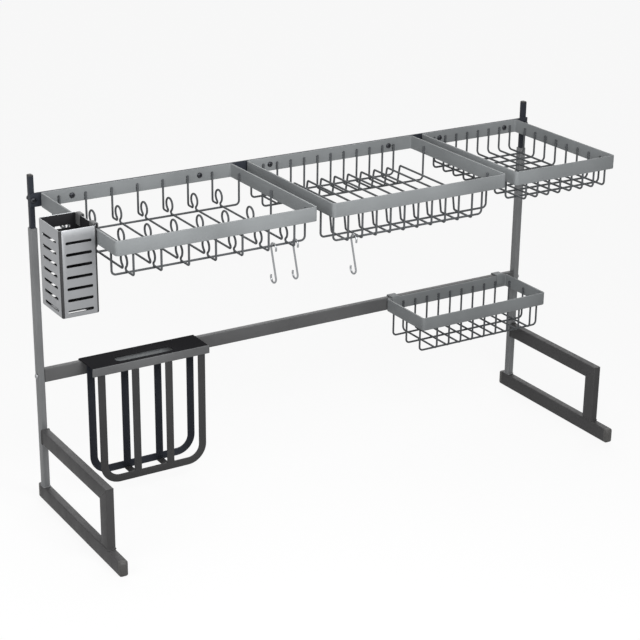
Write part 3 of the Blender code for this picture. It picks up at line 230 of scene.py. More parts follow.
# Knife holder and caddy hooks
KNIFE_SHEET = 0.002
KNIFE_DECK_SINK = 0.0003
KNIFE_BAR_HEIGHT = 0.0125
KNIFE_BAR_THICKNESS = 0.0025
KNIFE_LIP_HEIGHT = 0.016
KNIFE_SLOT_INSET = 0.043
KNIFE_SLOT_LENGTH = 0.092
KNIFE_SLOT_WIDTH = 0.018
KNIFE_STRIP = 0.0115
KNIFE_CORNER = 0.030
KNIFE_CORNER_STEPS = 14
KNIFE_MIDDLE_BARS = 2
STRIP_EDGE = 0.0007
SHEET_EDGE_SHARE = 0.25
THIN_SHARE = 0.97
THINNER_SHARE = 0.94
WELD_OVERLAP = 0.0004
CADDY_HOOK_THICKNESS = 0.002

# Utensil hooks
HOOK_WIRE = 0.0014
HOOK_BEND = 0.0068
HOOK_LENGTH = 0.056
HOOK_GAP = 0.0003
HOOK_MOUTH = math.radians(200)
HOOK_STEPS = 22

# The rack's own zero: midway between the posts, at their rear faces, on the counter
LEFT_POST_LOW, LEFT_POST_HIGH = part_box("left_lower_post")
RIGHT_POST_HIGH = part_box("right_lower_post")[1]
RACK_ZERO = Vector(((LEFT_POST_LOW.x + RIGHT_POST_HIGH.x) / 2, LEFT_POST_HIGH.y, 0))


# Shapes
def loft(rings, closed=False):
    """Verts and faces of a skin over rings of equal length."""
    count = len(rings[0])
    verts = [Vector(point) for ring in rings for point in ring]
    faces = []
    for a in range(len(rings) if closed else len(rings) - 1):
        b = (a + 1) % len(rings)
        for k in range(count):
            n = (k + 1) % count
            faces.append((a * count + k, a * count + n, b * count + n, b * count + k))
    if not closed:
        faces.append(tuple(reversed(range(count))))
        faces.append(tuple((len(rings) - 1) * count + k for k in range(count)))
    return verts, faces


def arc(centre, radius, start, end, steps):
    """Points of an arc in a plane, both ends included."""
    points = []
    for step in range(steps + 1):
        angle = start + (end - start) * step / steps
        points.append((centre[0] + radius * math.cos(angle), centre[1] + radius * math.sin(angle)))
    return points


def circle(radius, sides=WIRE_SIDES):
    return arc((0, 0), radius, 0, 2 * math.pi, sides)[:-1]


def rounded_rectangle(width, height, radius, steps=CORNER_STEPS):
    """The outline of a rectangle with round corners, about its middle."""
    outline = []
    for quarter, (side_x, side_y) in enumerate(((1, 1), (-1, 1), (-1, -1), (1, -1))):
        centre = (side_x * (width / 2 - radius), side_y * (height / 2 - radius))
        start = quarter * math.pi / 2
        outline += arc(centre, radius, start, start + math.pi / 2, steps)
    return outline


def bent(corners, radius, steps=BEND_STEPS):
    """A path through corners in space, with an arc at each inner one."""
    corners = [Vector(corner) for corner in corners]
    path = [corners[0]]
    for before, corner, after in zip(corners, corners[1:], corners[2:]):
        back = (before - corner).normalized()
        ahead = (after - corner).normalized()
        half = back.angle(ahead) / 2
        middle = corner + (back + ahead).normalized() * (radius / math.sin(half))
        reach = radius / math.tan(half)
        start = corner + back * reach - middle
        end = corner + ahead * reach - middle
        axis = start.cross(end).normalized()
        turn = start.angle(end)
        for step in range(steps + 1):
            path.append(middle + Matrix.Rotation(turn * step / steps, 3, axis) @ start)
    path.append(corners[-1])
    return path


def path_tangents(path, closed):
    tangents = []
    for k in range(len(path)):
        before = path[k - 1] if closed else path[max(k - 1, 0)]
        after = path[(k + 1) % len(path)] if closed else path[min(k + 1, len(path) - 1)]
        tangents.append((after - before).normalized())
    return tangents


def sweep(path, section, side=None, closed=False, dome=0.0):
    """A section moved along a path. Side is the fixed direction of the section's second axis."""
    path = [Vector(point) for point in path]
    tangents = path_tangents(path, closed)
    last = len(path) - 1
    axes = []
    across = tangents[0].orthogonal().normalized()
    for k, tangent in enumerate(tangents):
        if side is None:
            if k:
                across = tangents[k - 1].rotation_difference(tangent) @ across
            across = (across - tangent * across.dot(tangent)).normalized()
            axes.append((across, tangent.cross(across)))
        else:
            widen = 1.0
            if closed or 0 < k < last:
                into = (path[k] - path[k - 1]).normalized()
                widen = 1 / max(LEAST_MITRE, tangent.dot(into))
            axes.append((tangent.cross(side).normalized() * widen, side))
    rings = [[p + f * u + s * v for u, v in section] for p, (f, s) in zip(path, axes)]
    if dome:
        rings = [*end_dome(path[0], axes[0], -tangents[0], section, dome), *rings]
        rings += reversed(end_dome(path[last], axes[last], tangents[last], section, dome))
    return loft(rings, closed)


def end_dome(place_at, axes, outward, section, height):
    """The rings of a wire's rounded end, from its tip inwards."""
    first, second = axes
    rings = []
    for share in END_DOME_RINGS:
        rise = height * math.sqrt(1 - share**2)
        rings.append([place_at + outward * rise + (first * u + second * v) * share for u, v in section])
    return rings


def wire(path, radius=WIRE_RADIUS):
    return sweep(path, circle(radius), dome=radius * END_DOME_SHARE)


def blob(centre, radii):
    """A squashed ball, for a weld."""
    rings = []
    for row in range(BLOB_ROWS + 1):
        angle = math.pi * (row + BLOB_TIP) / (BLOB_ROWS + 2 * BLOB_TIP)
        flat = circle(math.sin(angle), BLOB_COLUMNS)
        rings.append([
            Vector(centre) + Vector((radii[0] * u, radii[1] * v, radii[2] * math.cos(angle)))
            for u, v in flat
        ])
    return loft(rings)


def bar(low, high, axis, corner, wall=0.0, edge=EDGE):
    """A tube or bar with rounded long edges between two corners of its box."""
    one, two = (k for k in range(3) if k != axis)
    size = high - low
    centre = (low + high) / 2

    def ring(inset, along, radius):
        outline = rounded_rectangle(size[one] - 2 * inset, size[two] - 2 * inset, max(radius, LEAST_CORNER))
        points = []
        for u, v in outline:
            point = Vector((0, 0, 0))
            point[one] = centre[one] + u
            point[two] = centre[two] + v
            point[axis] = along
            points.append(point)
        return points

    start, end = low[axis], high[axis]
    if wall:
        inner = max(corner - wall, LEAST_INNER_CORNER)
        return loft([
            ring(edge, start, corner - edge),
            ring(0, start + edge, corner),
            ring(0, end - edge, corner),
            ring(edge, end, corner - edge),
            ring(wall, end, inner),
            ring(wall, start, inner),
        ], closed=True)
    slight = edge * SLIGHT_EDGE_SHARE
    return loft([
        ring(edge, start, corner - edge),
        ring(slight, start + slight, corner - slight),
        ring(0, start + edge, corner),
        ring(0, end - edge, corner),
        ring(slight, end - slight, corner - slight),
        ring(edge, end, corner - edge),
    ])


def turned(profile, seat, direction):
    """A round piece: (radius, height) points about a direction from its seat."""
    turn = Z_AXIS.rotation_difference(direction)
    rings = []
    for radius, height in profile:
        rings.append([seat + turn @ Vector((u, v, height)) for u, v in circle(radius, TURNED_SIDES)])
    return loft(rings)


class Shape:
    """Skins gathered into one piece."""

    def __init__(self):
        self.verts = []
        self.faces = []

    def add(self, skin):
        verts, faces = skin
        first = len(self.verts)
        self.verts += verts
        self.faces += [tuple(first + k for k in face) for face in faces]
        return self

    def mesh(self, name, smooth=SMOOTH):
        mesh = bpy.data.meshes.new(name)
        mesh.from_pydata([tuple(vert) for vert in self.verts], [], self.faces)
        work = bmesh.new()
        work.from_mesh(mesh)
        bmesh.ops.recalc_face_normals(work, faces=work.faces)
        work.to_mesh(mesh)
        work.free()
        mesh.shade_smooth()
        mesh.set_sharp_from_angle(angle=math.radians(smooth))
        return mesh


def add_object(name, data):
    """A new object of the scene."""
    made = bpy.data.objects.new(name, data)
    bpy.context.scene.collection.objects.link(made)
    return made


def place(name, shape, body, material, nodes, smooth=SMOOTH):
    """Puts a shape in the scene as a piece that rides on a body and stands for nodes."""
    mesh = shape if isinstance(shape, bpy.types.Mesh) else shape.mesh(name, smooth)
    piece = add_object(name, mesh)
    mesh.materials.append(material)
    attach(piece, body)
    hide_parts(*nodes)


def cut(mesh, cutter, name):
    """The mesh with the cutter's volume taken out of it."""
    body = add_object(name, mesh)
    tool = add_object(name + "_tool", cutter)
    modifier = body.modifiers.new("cut", "BOOLEAN")
    modifier.solver = "EXACT"
    modifier.object = tool
    graph = bpy.context.evaluated_depsgraph_get()
    made = bpy.data.meshes.new_from_object(body.evaluated_get(graph))
    for obj in (body, tool):
        bpy.data.objects.remove(obj)
    made.shade_smooth()
    made.set_sharp_from_angle(angle=math.radians(SMOOTH))
    return made


# Materials: the sockets of a Mix node that hold colours, noises as (scale, detail), the parts of a
# noise that show as (start, end), shares of a colour, steps of roughness about its middle, and bumps
# as (strength, depth)
MIX_COLOURS = (6, 7)
MIX_RESULT = 2
GLOSS_PART = (0.3, 0.7)
CLOUD_PART = (0.35, 0.65)
COAT_CLOUD = (9, 3)
COAT_GLOSS = (70, 4)
COAT_GLOSS_STEPS = (-0.06, 0.08)
COAT_GRAIN_DETAIL = 3
COAT_DEPTH = 0.00012
FLECK_DETAIL = 2
FLECK_PART = (0.55, 0.75)
FLECK_MOST = 0.35
FLECK_SHARE = 1.3
DRAW_MARKS = (1, 2)
STEEL_SHARES = (0.93, 1.05)
STEEL_GLOSS = (90, 3)
STEEL_GLOSS_STEPS = (-0.05, 0.10)
STEEL_BUMP = (0.10, 0.00008)
PLASTIC_CLOUD = (40, 2)
PLASTIC_CLOUD_PART = (0.4, 0.6)
PLASTIC_SHARES = (0.88, 1.15)
PLASTIC_GLOSS = (300, 2)
PLASTIC_GLOSS_STEPS = (-0.05, 0.06)
PLASTIC_GRAIN = (1500, 2)
PLASTIC_BUMP = (0.5, 0.00015)


def scaled(colour, share):
    return tuple(min(1, part * share) for part in colour)


class Surface:
    """A Principled material and short calls for the nodes that vary it."""

    def __init__(self, name, colour, metallic, specular=0.5):
        self.material = bpy.data.materials.new(name)
        self.material.use_nodes = True
        self.material.diffuse_color = (*colour, 1)
        self.nodes = self.material.node_tree.nodes
        self.links = self.material.node_tree.links
        self.shader = self.nodes["Principled BSDF"]
        self.shader.inputs["Metallic"].default_value = metallic
        self.shader.inputs["Specular IOR Level"].default_value = specular
        self.where = self.nodes.new("ShaderNodeTexCoord").outputs["Object"]

    def stretched(self, scales):
        node = self.nodes.new("ShaderNodeMapping")
        node.inputs["Scale"].default_value = scales
        self.links.new(self.where, node.inputs["Vector"])
        return node.outputs["Vector"]

    def noise(self, scale, detail, where=None):
        node = self.nodes.new("ShaderNodeTexNoise")
        node.inputs["Scale"].default_value = scale
        node.inputs["Detail"].default_value = detail
        self.links.new(where or self.where, node.inputs["Vector"])
        return node.outputs["Fac"]

    def mapped(self, source, start, end, low, high):
        """Start to end of a source, mapped to low to high."""
        node = self.nodes.new("ShaderNodeMapRange")
        node.inputs["From Min"].default_value = start
        node.inputs["From Max"].default_value = end
        node.inputs["To Min"].default_value = low
        node.inputs["To Max"].default_value = high
        self.links.new(source, node.inputs["Value"])
        return node.outputs["Result"]

    def mixed(self, factor, first, second):
        node = self.nodes.new("ShaderNodeMix")
        node.data_type = "RGBA"
        self.links.new(factor, node.inputs["Factor"])
        for number, value in zip(MIX_COLOURS, (first, second)):
            socket = node.inputs[number]
            if isinstance(value, bpy.types.NodeSocket):
                self.links.new(value, socket)
            else:
                socket.default_value = (*value, 1)
        return node.outputs[MIX_RESULT]

    def mottled(self, source, part, colour, shares):
        """The colour, varied by a source between two shares of it."""
        low, high = (scaled(colour, share) for share in shares)
        return self.mixed(self.mapped(source, *part, 0, 1), low, high)

    def bump(self, height, strength, distance):
        node = self.nodes.new("ShaderNodeBump")
        node.inputs["Strength"].default_value = strength
        node.inputs["Distance"].default_value = distance
        self.links.new(height, node.inputs["Height"])
        self.links.new(node.outputs["Normal"], self.shader.inputs["Normal"])

    def colour(self, source):
        self.links.new(source, self.shader.inputs["Base Color"])

    def gloss(self, roughness, noise, steps):
        """A roughness that a noise varies between two steps from its middle."""
        low, high = (roughness + step for step in steps)
        source = self.mapped(self.noise(*noise), *GLOSS_PART, low, high)
        self.links.new(source, self.shader.inputs["Roughness"])


def powder_coat(name, colour, roughness, grain=1900, bump=0.30, mottle=0.10, metallic=0.0, specular=0.08):
    """Baked powder coat: slow mottling, paler flecks, uneven gloss and a fine orange-peel skin."""
    surface = Surface(name, colour, metallic, specular)
    base = surface.mottled(surface.noise(*COAT_CLOUD), CLOUD_PART, colour, (1 - mottle, 1 + mottle))
    fleck = surface.mapped(surface.noise(grain / 2, FLECK_DETAIL), *FLECK_PART, 0, FLECK_MOST)
    surface.colour(surface.mixed(fleck, base, scaled(colour, FLECK_SHARE)))
    surface.gloss(roughness, COAT_GLOSS, COAT_GLOSS_STEPS)
    surface.bump(surface.noise(grain, COAT_GRAIN_DETAIL), bump, COAT_DEPTH)
    return surface.material


def drawn_steel(name, colour, roughness, scales):
    """Bare steel with fine draw marks: the scales are small along them."""
    surface = Surface(name, colour, 1.0)
    marks = surface.noise(*DRAW_MARKS, surface.stretched(scales))
    surface.colour(surface.mottled(marks, CLOUD_PART, colour, STEEL_SHARES))
    surface.gloss(roughness, STEEL_GLOSS, STEEL_GLOSS_STEPS)
    surface.bump(marks, *STEEL_BUMP)
    return surface.material


def moulded_plastic(name, colour, roughness):
    """Spark-textured plastic: an even colour with a coarse matte grain."""
    surface = Surface(name, colour, 0.0)
    cloud = surface.noise(*PLASTIC_CLOUD)
    surface.colour(surface.mottled(cloud, PLASTIC_CLOUD_PART, colour, PLASTIC_SHARES))
    surface.gloss(roughness, PLASTIC_GLOSS, PLASTIC_GLOSS_STEPS)
    surface.bump(surface.noise(*PLASTIC_GRAIN), *PLASTIC_BUMP)
    return surface.material


SHEET_COAT = {"grain": 2000, "bump": 0.22, "mottle": 0.06}
ALONG_WIRE = (2600, 2600, 60)
ACROSS_SCREW = (900, 2600, 900)

# Copies of one coat in several tones. Painted light: paler copies for the bands, lower posts and tray bar.
BAND_LIT_COAT = powder_coat("band_coat_painted_light", (0.275, 0.289, 0.296), 0.42)
POST_LIT_COAT = powder_coat("lower_post_coat_painted_light", (0.240, 0.245, 0.250), 0.42, metallic=0.30)
KNIFE_BAR_LIT_COAT = powder_coat("knife_bar_coat_painted_light", (0.178, 0.181, 0.184), 0.42)
# Painted shade: darker copies for the crossbar, hooks, feet, knife loops, rail, upper posts and deck.
FRAME_SHADE_COAT = powder_coat("frame_coat_painted_shade", (0.148, 0.149, 0.151), 0.44)
FOOT_SHADE_COAT = powder_coat("foot_coat_painted_shade", (0.088, 0.087, 0.088), 0.44)
LOOP_SHADE_COAT = powder_coat("knife_loop_coat_painted_shade", (0.066, 0.066, 0.067), 0.44)
DARKEST_SHADE_COAT = powder_coat("darkest_coat_painted_shade", (0.036, 0.040, 0.050), 0.44)
DECK_SHADE_COAT = powder_coat("knife_deck_coat_painted_shade", (0.026, 0.026, 0.028), 0.60, specular=0.0)
WIRES = powder_coat("wire_powder_coat", (0.104, 0.110, 0.116), 0.38, grain=2300, bump=0.22)
HOLDER = powder_coat("holder_paint", (0.322, 0.329, 0.340), 0.40, metallic=0.75, **SHEET_COAT)
# Painted shade on the holder: darker round edges and a still darker inside.
HOLDER_EDGE_SHADE = powder_coat("holder_corner_painted_shade", (0.060, 0.060, 0.062), 0.50, **SHEET_COAT)
HOLDER_INSIDE_SHADE = powder_coat("holder_inside_painted_shade", (0.020, 0.020, 0.022), 0.60, **SHEET_COAT)
PLASTIC = moulded_plastic("cap_plastic", (0.022, 0.022, 0.023), 0.58)
BASE_PLASTIC = moulded_plastic("base_cap_plastic", (0.086, 0.084, 0.081), 0.58)
STEEL = drawn_steel("bright_steel", (0.330, 0.340, 0.350), 0.24, ALONG_WIRE)
BOLTS = drawn_steel("zinc_screws", (0.320, 0.325, 0.335), 0.34, ACROSS_SCREW)
BLACK_BOLTS = drawn_steel("black_oxide_screws", (0.048, 0.050, 0.056), 0.40, ACROSS_SCREW)


def look_of(name):
    """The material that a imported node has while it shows."""
    if "screw" in name or "nut" in name:
        return BOLTS if "crossbar" in name else BLACK_BOLTS
    if "plug" in name or "cap" in name:
        return BASE_PLASTIC if "base" in name else PLASTIC
    if name.startswith("utensil_hook"):
        return STEEL
    if name.startswith("chopstick"):
        return HOLDER
    if "bed" in name:
        return WIRES
    return FRAME_SHADE_COAT


for node_name, node in frame["nodes"].items():
    node.data.materials.clear()
    node.data.materials.append(look_of(node_name))


# Feet, posts and the two long bars
def build_foot(word):
    """The foot's rail and upright as one mitred tube, with its weld beads."""
    rail_low, rail_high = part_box(f"{word}_foot_rail")
    upright_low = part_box(f"{word}_front_upright")[0]
    wide = rail_high.x - rail_low.x
    deep = rail_high.z - rail_low.z
    middle_x = (rail_low.x + rail_high.x) / 2
    middle_y = upright_low.y + deep / 2
    middle_z = rail_high.z - deep / 2
    section = rounded_rectangle(deep, wide, TUBE_CORNER)
    foot = Shape().add(loft([
        [Vector((middle_x + v, rail_high.y, middle_z + u)) for u, v in section],
        [Vector((middle_x + v, middle_y - u, middle_z + u)) for u, v in section],
        [Vector((middle_x + v, middle_y - u, upright_low.z)) for u, v in section],
    ]))
    for face_x in (rail_low.x + SEAM_SINK, rail_high.x - SEAM_SINK):
        seam = []
        for step in range(SEAM_STEPS + 1):
            share = SEAM_START_SHARE + (1 - 2 * SEAM_START_SHARE) * step / SEAM_STEPS
            seam.append((face_x, upright_low.y + share * deep, rail_high.z - share * deep))
        foot.add(wire(seam, SEAM_RADIUS))
    bead = rounded_rectangle(deep + 2 * BEAD_SPREAD, wide + 2 * BEAD_SPREAD, TUBE_CORNER, FEW_STEPS)
    at_post = [(middle_x + v, rail_high.y - SEAM_SINK, middle_z + u) for u, v in bead]
    at_base = [(middle_x + v, middle_y - u, upright_low.z + SEAM_SINK) for u, v in bead]
    for path in (at_post, at_base):
        foot.add(sweep(path, circle(BEAD_RADIUS, BEAD_SIDES), closed=True))
    nodes = [f"{word}_foot_rail", f"{word}_front_upright"]
    place(f"{word}_foot_loop", foot, "rack", FOOT_SHADE_COAT, nodes)


def build_base(word):
    """The tube on the counter and the moulded cap on each of its ends."""
    base_low, base_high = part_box(f"{word}_base_bar")
    tube = Shape().add(bar(base_low, base_high, 1, TUBE_CORNER, wall=TUBE_WALL))
    place(f"{word}_base_tube", tube, "rack", FOOT_SHADE_COAT, [f"{word}_base_bar"])
    for end in ("front", "rear"):
        low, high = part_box(f"{word}_base_{end}_cap")
        near = base_low.y - CAP_GAP if end == "front" else base_high.y + CAP_GAP
        far = low.y if end == "front" else high.y
        middle = (low + high) / 2
        size = high - low
        rings = []
        for inset, share, radius in BASE_CAP_PROFILE:
            y = near + (far - near) * share
            corner = min(radius, size.x / 2 - inset - LEAST_CORNER)
            outline = rounded_rectangle(size.x - 2 * inset, size.z - 2 * inset, corner)
            rings.append([(middle.x + u, y, middle.z + v) for u, v in outline])
        cap = Shape().add(loft(rings))
        node = f"{word}_base_{end}_cap"
        place(f"{word}_base_{end}_end_cap", cap, "rack", look_of(node), [node])


def build_post(word):
    """The lower post with its weld bead, the narrower upper post, and the cap in its top."""
    low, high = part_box(f"{word}_lower_post")
    post = Shape().add(bar(low, high, 2, TUBE_CORNER, wall=TUBE_WALL))
    middle = (low + high) / 2
    wide, deep = (side + 2 * BEAD_SPREAD for side in (high.x - low.x, high.y - low.y))
    bead = rounded_rectangle(wide, deep, TUBE_CORNER, FEW_STEPS)
    path = [(middle.x + u, middle.y + v, low.z + SEAM_SINK) for u, v in bead]
    post.add(sweep(path, circle(BEAD_RADIUS, BEAD_SIDES), closed=True))
    place(f"{word}_lower_post_tube", post, "rack", POST_LIT_COAT, [f"{word}_lower_post"])
    low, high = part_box(f"{word}_upper_post")
    post = Shape().add(bar(low, high, 2, UPPER_CORNER, wall=UPPER_WALL))
    place(f"{word}_upper_post_tube", post, "rack", DARKEST_SHADE_COAT, [f"{word}_upper_post"])
    seat = high.z
    low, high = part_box(f"{word}_post_cap")
    middle = (low + high) / 2
    rings = []
    for inset, depth in ((0.0, high.z - seat), *POST_CAP_PROFILE):
        wide, deep = (side - 2 * inset for side in (high.x - low.x, high.y - low.y))
        outline = rounded_rectangle(wide, deep, POST_CAP_CORNER)
        rings.append([(middle.x + u, middle.y + v, high.z - depth) for u, v in outline])
    cap = Shape().add(loft(rings))
    place(f"{word}_post_end_cap", cap, "rack", PLASTIC, [f"{word}_post_cap"])


def build_long_bars():
    low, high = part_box("rear_rail")
    rail = Shape().add(bar(low, high, 0, FLAT_CORNER, edge=FLAT_EDGE))
    place("rear_rail_bar", rail, "rack", DARKEST_SHADE_COAT, ["rear_rail"])
    low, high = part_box("crossbar")
    tube = Shape().add(bar(low, high, 0, TUBE_CORNER, wall=TUBE_WALL))
    place("crossbar_tube", tube, "rack", FRAME_SHADE_COAT, ["crossbar"])


# Screws and nuts
def screw_profile(length):
    """The (radius, height) points of a pan head and its threaded shank."""
    profile = [(radius, HEAD_HEIGHT * share) for radius, share in HEAD_PROFILE]
    profile += [(HEAD_RADIUS, HEAD_UNDERSIDE), (SHANK_RADIUS, 0.0)]
    start = -length * THREAD_START_SHARE
    for _ in range(int((length + start) / THREAD_PITCH)):
        profile += [(SHANK_RADIUS, start), (THREAD_ROOT, start - THREAD_PITCH / 2)]
        start -= THREAD_PITCH
    return [*profile, (SCREW_END_RADIUS, -length), (SCREW_TIP_RADIUS, -length)]


def screw_mesh(name, seat, direction, length):
    """A pan-head screw with a cross recess and a threaded end."""
    out = -direction
    mesh = Shape().add(turned(screw_profile(length), seat, out)).mesh(name, SCREW_SMOOTH)
    one = X_AXIS if abs(out.x) < abs(out.y) else Y_AXIS
    two = out.cross(one)
    low = seat + out * HEAD_HEIGHT * (1 - RECESS_DEPTH_SHARE)
    corners = ((-1, -1), (1, -1), (1, 1), (-1, 1))
    for along, across in ((one, two), (two, one)):
        rings = []
        for rise, (half, thick) in ((0, RECESS_LOW), (HEAD_HEIGHT, RECESS_HIGH)):
            rings.append([low + out * rise + along * (half * a) + across * (thick * b) for a, b in corners])
        mesh = cut(mesh, Shape().add(loft(rings)).mesh(name + "_recess", RECESS_SMOOTH), name)
    return mesh


def build_screw(name):
    low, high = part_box(name)
    middle = (low + high) / 2
    if name.startswith("left_crossbar"):
        seat, direction = Vector((low.x + HEAD_HEIGHT, middle.y, middle.z)), X_AXIS
    elif name.startswith("right_crossbar"):
        seat, direction = Vector((high.x - HEAD_HEIGHT, middle.y, middle.z)), -X_AXIS
    else:
        seat, direction = Vector((middle.x, low.y + HEAD_HEIGHT, middle.z)), Y_AXIS
    length = abs((high - low).dot(direction)) - HEAD_HEIGHT
    mesh = screw_mesh(name + "_cross_head", seat, direction, length)
    place(name + "_cross_head", mesh, "rack", look_of(name), [name])


def build_nut(name):
    """A hexagon nut with turned-off corners and its bore."""
    low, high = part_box(name)
    middle = (low + high) / 2
    step = math.pi / NUT_SIDES

    def ring(radius, depth, hexagon=False):
        points = []
        for k in range(ROUND_STEPS):
            angle = 2 * math.pi * k / ROUND_STEPS
            reach = radius
            if hexagon:
                reach = radius * math.cos(step) / math.cos(angle % (2 * step) - step)
            out = reach * math.cos(angle)
            points.append((middle.x + out, low.y + depth, middle.z + reach * math.sin(angle)))
        return points

    nut = Shape().add(loft([
        ring(NUT_BORE, 0),
        ring(NUT_FACE_RADIUS, 0),
        ring(NUT_RADIUS, NUT_CHAMFER, True),
        ring(NUT_RADIUS, NUT_HEIGHT - NUT_CHAMFER, True),
        ring(NUT_FACE_RADIUS, NUT_HEIGHT),
        ring(NUT_BORE, NUT_HEIGHT),
    ], closed=True))
    place(name + "_hexagon", nut, "rack", look_of(name), [name], NUT_SMOOTH)


# Bands and wire beds
def build_band(name, body):
    low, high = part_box(f"{name}_rim")
    middle = (low + high) / 2
    outline = rounded_rectangle(
        high.x - low.x - BAND_THICKNESS,
        high.y - low.y - BAND_THICKNESS,
        BAND_CORNER - BAND_THICKNESS / 2,
        BAND_CORNER_STEPS,
    )
    path = [(middle.x + u, middle.y + v, middle.z) for u, v in outline]
    section = rounded_rectangle(BAND_THICKNESS, high.z - low.z, BAND_EDGE, FEW_STEPS)
    band = Shape().add(sweep(path, section, side=Z_AXIS, closed=True))
    place(f"{name}_band", band, body, BAND_LIT_COAT, [f"{name}_rim"])


class Bed:
    """The wires of a bed, in the places that its band's box gives."""

    def __init__(self, name, drop, first, pitch, count):
        self.low, self.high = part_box(f"{name}_rim")
        self.base = self.low.z - drop
        self.top = self.low.z + WELD_LENGTH
        self.front = self.low.y + WIRE_INSET
        self.rear = self.high.y - WIRE_INSET
        self.left = self.low.x + WIRE_INSET
        self.right = self.high.x - WIRE_INSET
        self.wires = [self.low.x + first + number * pitch for number in range(count)]
        self.shape = Shape()

    def weld_top(self, x, y, to_band):
        """The flattened weld of a wire's upper end against the band."""
        along_x = abs(to_band[0]) > abs(to_band[1])
        radii = (TOP_WELD_THIN, TOP_WELD_WIDE) if along_x else (TOP_WELD_WIDE, TOP_WELD_THIN)
        for number in range(TOP_WELD_COUNT):
            height = self.top - TOP_WELD_INSET - number * TOP_WELD_PITCH
            middle = Vector((x, y, height)) + Vector(to_band) * TOP_WELD_OFFSET
            self.shape.add(blob(middle, (*radii, TOP_WELD_TALL)))

    def cross(self, x, path):
        """A wire from the front band to the rear one."""
        self.shape.add(wire(path))
        self.weld_top(x, self.front, (0, -1, 0))
        self.weld_top(x, self.rear, (0, 1, 0))

    def along(self, y, z, weld_z, right=None):
        """A wire from the left band to the right one or short of it, welded to the others."""
        end = right or self.right
        corners = [(self.left, y, self.top), (self.left, y, z), (end, y, z), (end, y, self.top)]
        self.shape.add(wire(bent(corners, SOFT_BEND)))
        for x in self.wires:
            self.shape.add(blob((x, y, weld_z), CROSS_WELD * random.uniform(*CROSS_WELD_SPREAD)))
        self.weld_top(self.left, y, (-1, 0, 0))
        if right is None:
            self.weld_top(end, y, (1, 0, 0))
        else:
            self.weld_top(end, y, (0, math.copysign(1, y - (self.front + self.rear) / 2), 0))

    def finish(self, name, body):
        place(f"{name}_wires", self.shape, body, WIRES, [f"{name}_wire_bed"], WIRE_SMOOTH)


def hump(centre_y, base):
    """A round hump with a narrow neck, in (Y, Z)."""
    across = HUMP_NECK + HUMP_FOOT
    rise = math.sqrt((HUMP_FOOT + HUMP_RADIUS) ** 2 - across**2)
    lean = math.atan2(rise, across)
    foot_z = base + HUMP_FOOT
    before = arc((centre_y - across, foot_z), HUMP_FOOT, -math.pi / 2, lean, HUMP_FOOT_STEPS)
    over = arc((centre_y, foot_z + rise), HUMP_RADIUS, math.pi + lean, -lean, HUMP_STEPS)
    after = arc((centre_y + across, foot_z), HUMP_FOOT, math.pi - lean, 3 * math.pi / 2, HUMP_FOOT_STEPS)
    return before + over[1:-1] + after


def build_bowl_bed():
    bed = Bed("bowl_rack", BOWL_DROP, BOWL_FIRST, BOWL_PITCH, BOWL_COUNT)
    humps = [bed.low.y + HUMP_FIRST + number * HUMP_PITCH for number in range(HUMP_COUNT)]
    for x in bed.wires:
        entry = [(x, bed.front, bed.top), (x, bed.front, bed.base), (x, humps[0], bed.base)]
        leave = [(x, humps[-1], bed.base), (x, bed.rear, bed.base), (x, bed.rear, bed.top)]
        path = bent(entry, TIGHT_BEND)[:-1]
        for y in humps:
            path += [(x, a, b) for a, b in hump(y, bed.base)]
        bed.cross(x, path + bent(leave, TIGHT_BEND)[1:])
    for y in humps:
        bed.along(y - HUMP_NECK - HUMP_FOOT, bed.base - WIRE_STACK, bed.base - WIRE_STACK / 2)
    bed.finish("bowl_rack", "rack")


def build_plate_bed():
    bed = Bed("plate_rack", PLATE_DROP, PLATE_FIRST, PLATE_PITCH, PLATE_COUNT)
    hump_front = bed.low.y + PLATE_TOE
    hump_rear = bed.high.y - PLATE_TOE
    hump_top = bed.base + PLATE_RISE
    for x in bed.wires:
        corners = [
            (x, bed.front, bed.top),
            (x, bed.front, bed.base),
            (x, hump_front, bed.base),
            (x, hump_front + PLATE_LEAN, hump_top),
            (x, hump_rear - PLATE_LEAN, hump_top),
            (x, hump_rear, bed.base),
            (x, bed.rear, bed.base),
            (x, bed.rear, bed.top),
        ]
        bed.cross(x, bent(corners, TIGHT_BEND))
    bed_right = bed.high.x - PLATE_END_SPACE
    below = bed.base - WIRE_STACK
    bed.along(bed.front + NEST, bed.base + NEST, bed.base + NEST, bed_right)
    bed.along(hump_front - PLATE_LONG_SPACE, below, bed.base - WIRE_STACK / 2)
    bed.along(hump_rear + PLATE_LONG_SPACE, below, bed.base - WIRE_STACK / 2)
    bed.along(bed.rear - NEST, bed.base + NEST, bed.base + NEST, bed_right)
    bed.finish("plate_rack", "rack")


def build_grid(name, body, bed, depths):
    """A plain grid of wires."""
    for x in bed.wires:
        corners = [
            (x, bed.front, bed.top),
            (x, bed.front, bed.base),
            (x, bed.rear, bed.base),
            (x, bed.rear, bed.top),
        ]
        bed.cross(x, bent(corners, SOFT_BEND))
    for depth in depths:
        bed.along(depth, bed.base - WIRE_STACK, bed.base - WIRE_STACK / 2)
    bed.finish(name, body)


def build_fruit_bed():
    bed = Bed("fruit_rack", FRUIT_DROP, FRUIT_FIRST, FRUIT_PITCH, FRUIT_COUNT)
    first = bed.low.y + FRUIT_LONG_FIRST
    depths = [first + number * FRUIT_LONG_PITCH for number in range(FRUIT_LONG_COUNT)]
    build_grid("fruit_rack", "rack", bed, depths)


def build_caddy_bed():
    bed = Bed("soap_caddy", CADDY_DROP, CADDY_FIRST, CADDY_PITCH, CADDY_COUNT)
    first = bed.front + CADDY_LONG_INSET
    pitch = (bed.rear - bed.front - 2 * CADDY_LONG_INSET) / (CADDY_LONG_COUNT - 1)
    depths = [first + number * pitch for number in range(CADDY_LONG_COUNT)]
    build_grid("soap_caddy", "soap_caddy_unit", bed, depths)


